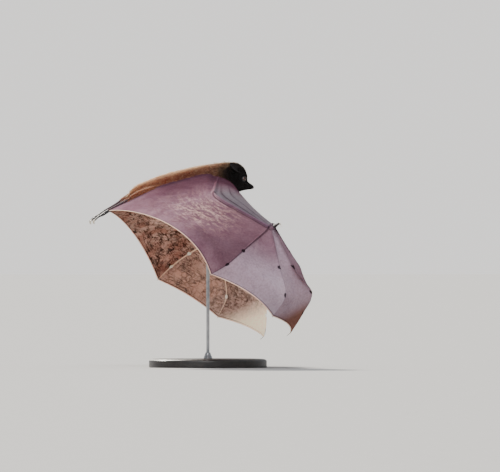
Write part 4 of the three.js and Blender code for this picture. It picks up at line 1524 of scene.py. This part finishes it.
# a ball that bulges over the pupil as a bell of the angle from the gaze
def eyeballPart(side):
    turn = np.linspace(0, np.pi, eyes["rows"])[:, None] * np.ones(eyes["columns"])
    around = np.linspace(0, 2 * np.pi, eyes["columns"], endpoint=False)[None, :] * np.ones_like(turn)
    radius = (face["eye"]["radius"] - 0.25) * (1 + eyes["cornea"] * bell(turn, 0.5))
    points = placed(aboutGaze(side, turn, around, radius))
    return gridPart(points, round=turn / (np.pi / 2))


# the lids: from an almond opening outwards over the ball and down into the head, and back
# inside; the rim is rolled and two soft creases run round it
def lidsPart(side):
    around = np.linspace(0, 2 * np.pi, eyes["columns"], endpoint=False)
    wide, tall = np.radians(eyes["lidOpening"])
    power = eyes["lidPower"]
    opening = np.abs(np.cos(around) / wide) ** power + np.abs(np.sin(around) / tall) ** power
    beyond, out = np.radians(eyes["beyond"])[:, None], np.array(eyes["out"])[:, None]
    turn = opening[None, :] ** (-1 / power) + beyond
    wrinkles = 0.05 * np.sin(13 * around)[None, :] * bell(beyond - 0.3, 0.2)
    radius = (face["eye"]["radius"] + eyes["lidGap"] + out + wrinkles) * np.ones_like(turn)
    points = placed(aboutGaze(side, turn, around[None, :] * np.ones_like(turn), radius))
    return gridPart(points, flip=side > 0)


# The foot: a sole from heel to toes as distance, top, bottom and half width, and five toes.
foot = {
    "droop": 33,
    "sole": [(-4, 3, -3, 3), (4, 3.4, -3.2, 4.4), (12, 3.2, -3, 6.2), (19, 2.2, -2.4, 6.6)],
    "spacing": 2.7,
    "spread": 1.5,
    "toe": {
        "length": 12,
        "spreads": [0, 0.1, 0.6, 1, 1.12],
        "ups": [0.4, 0.6, 1.2, 0.2, -0.5],
        "radii": [2.1, 1.9, 1.75, 1.45, 1.3, 1.15],
    },
    "claw": {
        "length": 9,
        "reaches": [0.1, 0.4, 0.62, 0.78, 0.8],
        "spreads": [1.05, 1.2, 1.3, 1.36, 1.4],
        "ups": [-0.2, 0.2, -1.4, -4, -6.6],
        "radii": [1.25, 1.15, 1.0, 0.8, 0.52, 0.2],
    },
}
# The clawed digits of the wing: how far along its line a digit's flesh goes, and its claw.
digits = {
    "thumb": {"fleshEnd": 0.8, "columns": 24, "clawRadii": [1.9, 1.8, 1.55, 1.2, 0.8, 0.3]},
    "finger_2": {"fleshEnd": 0.93, "columns": 12, "clawRadii": [0.9, 0.85, 0.75, 0.6, 0.4, 0.15]},
    "clawWide": 0.6,
}


# a foot's own measures, from the ankle along its droop, across and up, as a place on the bat
def footPoint(reach, across, up):
    turn = np.radians(foot["droop"])
    reach, across, up = (np.asarray(v, float) for v in (reach, across, up))
    x, z = -reach * np.cos(turn) - up * np.sin(turn), up * np.cos(turn) - reach * np.sin(turn)
    return ankle + np.stack(np.broadcast_arrays(x, across, z), -1)


# the sole is an oval that swells and closes towards its ends; each toe and claw is a tube
def footParts(side):
    rows = np.array(foot["sole"], float)
    t = np.linspace(0, 1, 30)
    reach, top, bottom, half = smoothLine(rows, t).T
    opened = np.sqrt(np.clip(1 - (1 - np.minimum(t / 0.1, 1)) ** 2, 0, 1))
    opened = opened * np.sqrt(np.clip(1 - np.maximum((t - 0.85) / 0.15, 0) ** 2, 0, 1))
    turn = np.linspace(0, 2 * np.pi, 48, endpoint=False)[None, :]
    folds = 1 + 0.02 * np.sin(2.4 * reach)[:, None]
    across = (half * opened)[:, None] * np.sin(turn) * folds
    tendons = 0.22 * np.cos(across * 2 * np.pi / foot["spacing"]) * fade(2, 10, reach)[:, None]
    up = (top + bottom)[:, None] / 2 + ((top - bottom) / 2 * opened)[:, None] * np.cos(turn) * folds
    up = up + tendons * (np.cos(turn) > 0)
    skinParts = [gridPart(placed(footPoint(reach[:, None] * np.ones_like(turn), across, up), side))]
    claws, toe, claw = [], foot["toe"], foot["claw"]
    root = rows[-1, 0]
    knuckle = root + toe["length"]

    # the line of the k-th toe, or of its claw, from the middle one
    def toeLine(k, reaches, digit):
        asides = [k * (foot["spacing"] + s * foot["spread"]) for s in digit["spreads"]]
        return measured(smoothLine(footPoint(reaches, asides, digit["ups"]), np.linspace(0, 1, 60)))

    for k in (-2, -1, 0, 1, 2):
        halfway = root + toe["length"] / 2
        reaches = [root - 7, root - 2, halfway, knuckle, knuckle + claw["length"] * 0.28]
        shares = np.linspace(0, 1, 34)
        knobs = 1 + 0.14 * bell(shares - 0.42, 0.06) + 0.16 * bell(shares - 0.8, 0.07)
        rings = 1 + 0.025 * np.sin(shares * 70)
        radii = along(toe["radii"], shares) * knobs * rings
        points = tube(toeLine(k, reaches, toe), shares, radii, 20)
        skinParts.append(gridPart(placed(points, side)))
        reaches = [knuckle + claw["length"] * s for s in claw["reaches"]]
        shares = np.linspace(0, 1, 22)
        radii = along(claw["radii"], shares)
        points = tube(toeLine(k, reaches, claw), shares, radii, 14, wide=0.62, upward=(0, 1, 0.1))
        claws.append(gridPart(placed(points, side), claw=np.linspace(0, 1, len(points))[:, None]))
    return skinParts, claws


# a thumb or a clawed finger end: flesh from one share of its line to another, then its claw
def digitParts(line, side, fleshEnd, columns, clawRadii):
    shares = np.linspace(0, fleshEnd, 46)
    radii = along(line["radii"], shares)
    knobs = 1 + 0.16 * sum(bell(shares - j, 0.04) for j in line["joints"][1:-1])
    rings = 1 + 0.02 * np.sin(shares * 130)
    flesh = [gridPart(placed(tube(line, shares, radii * knobs * rings, columns), side))]
    shares = np.linspace(fleshEnd - 0.07, 1, 26)
    radii = along(clawRadii, np.linspace(0, 1, 26))
    points = tube(line, shares, radii, 16, wide=digits["clawWide"], upward=(0.3, 1, 0.2))
    return flesh, [gridPart(placed(points, side), claw=np.linspace(0, 1, len(points))[:, None])]


for word, side in (("left", 1), ("right", -1)):
    earPiece = makePiece(f"ear_{word}_leaf", sheetParts(earSheet(), side), earSkin)
    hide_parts(f"ear_{word}")
    ball = makePiece(f"eye_{word}_ball", [eyeballPart(side)], eyeGloss)
    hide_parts(f"eye_{word}")
    lids = makePiece(f"eyelids_{word}", [lidsPart(side)], blackSkin)
    skinParts, claws = footParts(side)
    sole = makePiece(f"foot_{word}_skin", skinParts, blackSkin)
    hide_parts(f"foot_{word}")
    lines = wingLines[word]
    flesh, thumbClaw = digitParts(lines["thumb"], side, **digits["thumb"])
    thumb = makePiece(f"thumb_{word}_skin", flesh, blackSkin)
    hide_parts(f"thumb_{word}")
    fingerClaw = digitParts(lines["finger_2"], side, **digits["finger_2"])[1]
    horn = makePiece(f"claws_{word}", claws + thumbClaw + fingerClaw, clawHorn)
print("ears, eyes, feet, thumbs and claws made")


limbCoats = {
    "arm": {"count": 1200, "length": (6.5, 3), "width": (0.8, 0.5)},
    "leg": {"count": 8000, "length": (7.5, 3.5), "width": (0.6, 0.34)},
}
# The coat: for each piece its skin, the share of the way from rump to nose that it covers,
# how many tufts, and the length and width of one at either end of that share.
coat = {
    "stations": np.array([0, 0.3, 0.65, 1.0]),  # shares of a tuft's length
    "widths": np.array([0.6, 1.0, 0.72]),
    "heights": np.array([-0.12, 0.5, 0.86, 0.97]),
    "ridge": 0.3,
    "patch": 0.0015,
    "eyeClear": 6.6,
    "fluff": ((0.0, 0.12, 0.3, 0.5, 0.7, 0.86), (3, 8, 8, 5, 3, 1)),
    "pieces": {
        "coat_rump": {"grid": "trunk", "from": 0.0, "to": 0.38, "side": 1, "count": 12000,
                      "length": (7.5, 11.5), "width": (0.8, 0.95)},
        "coat_back": {"grid": "trunk", "from": 0.36, "to": 0.68, "side": 1, "count": 12200,
                      "length": (11.5, 12.5), "width": (0.9, 1.0)},
        "coat_belly": {"grid": "trunk", "from": 0.0, "to": 0.68, "side": -1, "count": 12200,
                       "length": (7, 10), "width": (0.9, 1.1)},
        "coat_mantle": {"grid": "trunk", "from": 0.66, "to": 0.86, "side": 1, "count": 12200,
                        "length": (12, 8.5), "width": (0.95, 0.75), "slot": "mantle_fur"},
        "coat_throat": {"grid": "trunk", "from": 0.66, "to": 0.86, "side": -1, "count": 9000,
                        "length": (9, 6.5), "width": (0.9, 0.7), "slot": "mantle_fur"},
        "coat_head": {"grid": "trunk", "from": 0.85, "to": 1.0, "side": 0, "count": 12400,
                      "length": (7.5, 1.3), "width": (0.62, 0.28), "slot": "head_fur"},
        "coat_arm_left": {"grid": "arm_left", **limbCoats["arm"]},
        "coat_arm_right": {"grid": "arm_right", **limbCoats["arm"]},
        "coat_leg_left": {"grid": "leg_left", **limbCoats["leg"]},
        "coat_leg_right": {"grid": "leg_right", **limbCoats["leg"]},
    },
}


# a field of a grid between its points: the four corners weighted by nearness, round and round
# across the grid and held at its first and last rows
def onGrid(field, row, column):
    rows, columns = field.shape[:2]
    row = np.clip(row, 0, rows - 1.001)
    r, c = row.astype(int), np.floor(column).astype(int)
    fr, fc = row - r, column - c
    if field.ndim == 3:
        fr, fc = fr[..., None], fc[..., None]
    c, d = c % columns, (c + 1) % columns
    return mix(mix(field[r, c], field[r, d], fc), mix(field[r + 1, c], field[r + 1, d], fc), fr)


# roots spread evenly over the area between two shares of the way, thinned by a density
def rootsOn(grid, settings, density):
    points = grid["points"] / mm
    down = np.linalg.norm(np.diff(points, axis=0), axis=-1)
    across = np.linalg.norm(np.roll(points, -1, 1) - points, axis=-1)[:-1]
    weight = down * across * density[:-1]
    weight = weight.ravel() / weight.sum()
    cells = chance.choice(len(weight), settings["count"], p=weight)
    rows, columns = np.divmod(cells, points.shape[1])
    return rows + chance.random(len(rows)), columns + chance.random(len(rows))


# how many rows a length of skin spans at each root, read again half way there
def rowsFor(steps, row, column, reach, flow):
    first = flow * reach / onGrid(steps, row, column)
    return flow * reach / onGrid(steps, row + first / 2, column)


# one piece of the coat. Each tuft is a three-sided blade: its spine follows the skin down the
# flow, lifted off it by a share of the coat's depth, and its point is the last of four stations
def tuftCoat(name, settings):
    grid = trunkGrid if settings["grid"] == "trunk" else limbGrids[settings["grid"]]
    surface, flow = grid["points"] / mm, grid["flow"]
    normals = grid["normals"]
    steps = np.linalg.norm(np.diff(surface, axis=0), axis=-1)
    steps = np.maximum(np.vstack([steps, steps[-1:]]), 0.12)
    girths = np.linalg.norm(np.roll(surface, -1, 1) - surface, axis=-1)
    density = np.ones(surface.shape[:2])
    if settings["grid"] == "trunk":
        share = grid["bodyShare"]
        start, end = settings["from"], settings["to"]
        density = (share >= start) & (share <= end)
        if settings["side"]:
            density = density & (settings["side"] * (grid["dorsal"] + 0.1) > -0.02)
        density = density * (1 - fade(0.25, 0.6, grid["bare"]))
        progress = (share - start) / (end - start)
        density = density * (mix(1, 3.2, fade(0.3, 0.9, progress)) if name == "coat_head" else 1)
    else:
        reach = np.linspace(0, 1, len(surface))[:, None]
        last = 0.72 if "arm" in name else 0.66
        density = fade(0.02, 0.08, reach) * fade(last, last - 0.3, reach) * density
        if "arm" in name:
            density = density * (grid["dorsal"] < -0.1)
        progress = reach * density
    row, column = rootsOn(grid, settings, density)
    count = len(row)
    here = np.clip(onGrid(progress, row, column), 0, 1)
    random = chance.random((7, count))
    length = mix(*settings["length"], here) * (0.72 + 0.5 * random[0])
    wide = mix(*settings["width"], here) * (0.75 + 0.5 * random[1])
    deep = onGrid(grid["coat"], row, column)
    lift = 0.74 + 0.36 * random[2] + 0.5 * (random[3] > 0.965) * random[2]
    # along the ridge of the back the hairs stand off, most of all towards the rump
    if name in ("coat_rump", "coat_back", "coat_mantle"):
        ridge = fade(0.45, 0.95, onGrid(grid["dorsal"], row, column))
        shareHere = onGrid(share, row, column)
        fluff = np.interp(shareHere, *coat["fluff"])
        lift = lift + fluff * ridge * (0.45 + 0.55 * random[2]) / np.maximum(deep, 1)
    # neighbours lean together, by two slow waves over the skin and a little of their own
    turn = column / surface.shape[1] * 2 * np.pi
    lean = 0.2 * np.sin(row * 0.21 + 5 * turn) + 0.16 * np.sin(row * 0.47 - 9 * turn + 1)
    lean = lean + 0.3 * (random[4] - 0.5)
    stations = coat["stations"][:, None]
    rowShift = rowsFor(steps, row, column, length, flow) * stations
    sideways = lean * length / np.maximum(onGrid(girths, row, column), 0.05)
    columnShift = np.clip(sideways, -12, 12) * stations**1.5
    rowAt, columnAt = row + rowShift, column + columnShift
    spine = onGrid(surface, rowAt, columnAt)
    outward = unit(onGrid(normals, rowAt, columnAt))
    # past the end of the skin a tuft goes straight on
    ahead, behind = (onGrid(surface, row + k * flow, column) for k in (1.5, -1.5))
    heading = unit(ahead - behind)
    past = np.maximum(-rowAt, 0) + np.maximum(rowAt - (len(surface) - 1.001), 0)
    spine = spine + heading * (past * onGrid(steps, row, column))[..., None]
    height = (coat["heights"][:, None] * deep * lift + 0.03)[..., None]
    spine = spine + outward * height
    lengthwise = unit(np.gradient(spine, axis=0))
    beside = unit(np.cross(lengthwise, outward))
    over = np.cross(beside, lengthwise)
    half = (coat["widths"][:, None] * wide / 2)[..., None]
    low, ridge = spine[:3] - over[:3] * half * 0.2, spine[:3] + over[:3] * half * 2 * coat["ridge"]
    aside = beside[:3] * half
    blade = np.stack([low - aside, ridge, low + aside], 1)
    points = np.concatenate([blade.reshape(9, count, 3), spine[3:]]).transpose(1, 0, 2)
    # a tuft whose line comes too near an eye is left out
    if name == "coat_head":
        keep = np.ones(count, bool)
        for side in (1, -1):
            away = np.linalg.norm(spine - placed(eyeCentre(side)) / mm, axis=-1).min(0)
            keep &= away > coat["eyeClear"]
        points, row, column, random = points[keep], row[keep], column[keep], random[:, keep]
        count = len(points)
    base = 10 * np.arange(count)[:, None, None]
    ring = np.array([[0, 1, 4, 3], [1, 2, 5, 4], [2, 0, 3, 5]])
    quads = (base + np.vstack([ring, ring + 3])[None]).reshape(-1, 4)
    ends = (base + np.array([[6, 7, 9], [7, 8, 9], [8, 6, 9], [0, 2, 1]])[None]).reshape(-1, 3)
    # each tuft has its own small square on a flat map of the skin, at its root's place
    rootPlace = np.stack([row / len(surface), column / surface.shape[1]], -1) * 0.99 + 0.005
    sideOffset = np.array([-1, 0, 1, -1, 0, 1, -1, 0, 1, 0])
    downOffset = np.array([0, 0, 0, 1, 1, 1, 2, 2, 2, 3]) / 1.5 - 1
    sideOffset = sideOffset * np.where(downOffset > 0.9, 0.2, 1)
    offsets = coat["patch"] * np.stack([downOffset, sideOffset], -1)
    flat = (rootPlace[:, None] + offsets[None]).reshape(-1, 2)
    root = {k: onGrid(grid[k], row, column) for k in ("bodyShare", "dorsal")}
    hair = np.tile(np.repeat([0, 0.34, 0.7, 1], [3, 3, 3, 1]), count)
    masks = {k: np.repeat(v, 10) for k, v in root.items()}
    masks.update(hair=hair, tone=np.repeat(random[5], 10))
    part = {"points": mm * points.reshape(-1, 3), "faces": [quads, ends]}
    part.update(masks=masks, flat=flat)
    piece = makePiece(name, [part], coatFur, "OFBake", weld=None)
    settings.get("slot", "back_fur")
    return count


tufts = {name: tuftCoat(name, settings) for name, settings in coat["pieces"].items()}
print("tufts:", tufts, "triangles:", 16 * sum(tufts.values()))

# The display stand: outlines of radius and height in millimetres, turned about the upright.
stand = {
    "base": [(0, 0), (116, 0), (118, 1.2), (118, 12.6), (117.2, 14.4), (115.4, 15.9), (112.6, 16.9),
             (108.5, 17.3), (105, 17.5), (0, 17.7)],
    "collar": [(3.5, 18), (9, 18), (9, 19.4), (8.2, 20.4), (8.2, 22), (6.6, 24.6), (5.6, 27.4),
               (5.2, 29.4), (4.7, 30), (3.5, 30)],
    "rodRadius": 3.2,
    "rodTop": 338,
    "sides": 96,
}


# a closed ring or disc: every point of the outline goes round at its own radius, and the
# outline's corners are kept crisp by a second point a little way along each of its steps
def turned(outline, sides, near=0.12):
    outline = np.array(outline, float)
    starts, ends = outline[:-1], outline[1:]
    steps = np.stack([starts, mix(starts, ends, near), mix(starts, ends, 1 - near)], 1)
    outline = np.vstack([steps.reshape(-1, 2), outline[-1:]])
    turn = np.linspace(0, 2 * np.pi, sides, endpoint=False)[None, :]
    radius, height = outline[:, :1], outline[:, 1:]
    return mm * np.stack([radius * np.cos(turn), radius * np.sin(turn), height * np.ones_like(turn)], -1)


basePart = gridPart(turned(stand["base"], stand["sides"]), flip=False)
standBase = makePiece("stand_base_wood", [basePart], wood)
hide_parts("stand_base")
collarPart = gridPart(turned([*stand["collar"], stand["collar"][0]], 48), flip=False)
standCollar = makePiece("stand_collar_turned", [collarPart], brushedSteel)
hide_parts("stand_collar")
r, top = stand["rodRadius"], stand["rodTop"]
rod = [(0, 18), (r - 0.4, 18), (r, 18.4), (r, 120), (r, 230), (r, top - 0.4), (r - 0.4, top), (0, top)]
standRod = makePiece("stand_rod_round", [gridPart(turned(rod, 32), flip=False)], brushedSteel)
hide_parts("stand_rod")
print("stand made")

# The floor, the light and the camera. A sun has the way it shines, its strength, its width in
# degrees and its colour.
studio = {
    "suns": {
        "key_from_behind": ((0.22, -0.74, -0.62), 7.5, 8, (1.0, 0.95, 0.86)),
        "fill_from_the_front": ((0.15, 0.78, -0.6), 2.8, 30, (0.95, 0.97, 1.0)),
    },
    "air": {"Color": (0.9, 0.92, 0.95, 1), "Strength": 0.6},
    "farWall": {"Color": (1, 0.98, 0.955, 1), "Strength": 1.22},
    "floorHalf": 60,
    "frameWidth": 1.0,
    "distance": 25,
    "yaw": 9.6,
    "lookAt": (-0.012, 0, 0.263),
    "aside": 0.096,
}
mesh = bpy.data.meshes.new("floor")
edge = studio["floorHalf"]
corners = [(-edge, -edge, 0), (edge, -edge, 0), (edge, edge, 0), (-edge, edge, 0)]
mesh.from_pydata(corners, [], [(0, 1, 2, 3)])
floor = bpy.data.objects.new("floor", mesh)
bpy.context.scene.collection.objects.link(floor)
mesh.materials.append(paleFloor)


# a sun that shines one way, its edge softened by a spread in degrees
def addSun(name, towards, strength, spread, colour):
    light = bpy.data.lights.new(name, "SUN")
    light.energy, light.angle, light.color = strength, np.radians(spread), colour
    lamp = bpy.data.objects.new(name, light)
    lamp.rotation_mode = "QUATERNION"
    lamp.rotation_quaternion = Vector(towards).to_track_quat("-Z", "Y")
    bpy.context.scene.collection.objects.link(lamp)


for name, settings in studio["suns"].items():
    addSun(name, *settings)
world = bpy.data.worlds.new("soft room")
bpy.context.scene.world = world
world.use_nodes = True
sky = world.node_tree
ambient = sky.nodes["Background"]
for socket, value in studio["air"].items():
    ambient.inputs[socket].default_value = value
# the room's far wall looks as bright as the floor before it, but lights as softly as the air
farWall = addNode(sky, "Background", studio["farWall"])
seen = addNode(sky, "MixShader", {0: addNode(sky, "LightPath").outputs["Is Camera Ray"]})
sky.links.new(ambient.outputs[0], seen.inputs[1])
sky.links.new(farWall.outputs[0], seen.inputs[2])
sky.links.new(seen.outputs[0], sky.nodes["World Output"].inputs["Surface"])

turn = np.radians(studio["yaw"])
ahead = Vector((np.sin(turn), np.cos(turn), 0))
rightward = Vector((np.cos(turn), -np.sin(turn), 0))
lens = bpy.data.cameras.new("camera")
lens.sensor_width = 36
lens.lens = 36 * studio["distance"] / studio["frameWidth"]
lens.clip_start, lens.clip_end = 1, 400
camera = bpy.data.objects.new("camera", lens)
target = Vector(studio["lookAt"]) + studio["aside"] * rightward
camera.location = target - studio["distance"] * ahead
camera.rotation_euler = (np.pi / 2, 0, -turn)
bpy.context.scene.collection.objects.link(camera)
bpy.context.scene.camera = camera
print("stage, lights and camera are set")
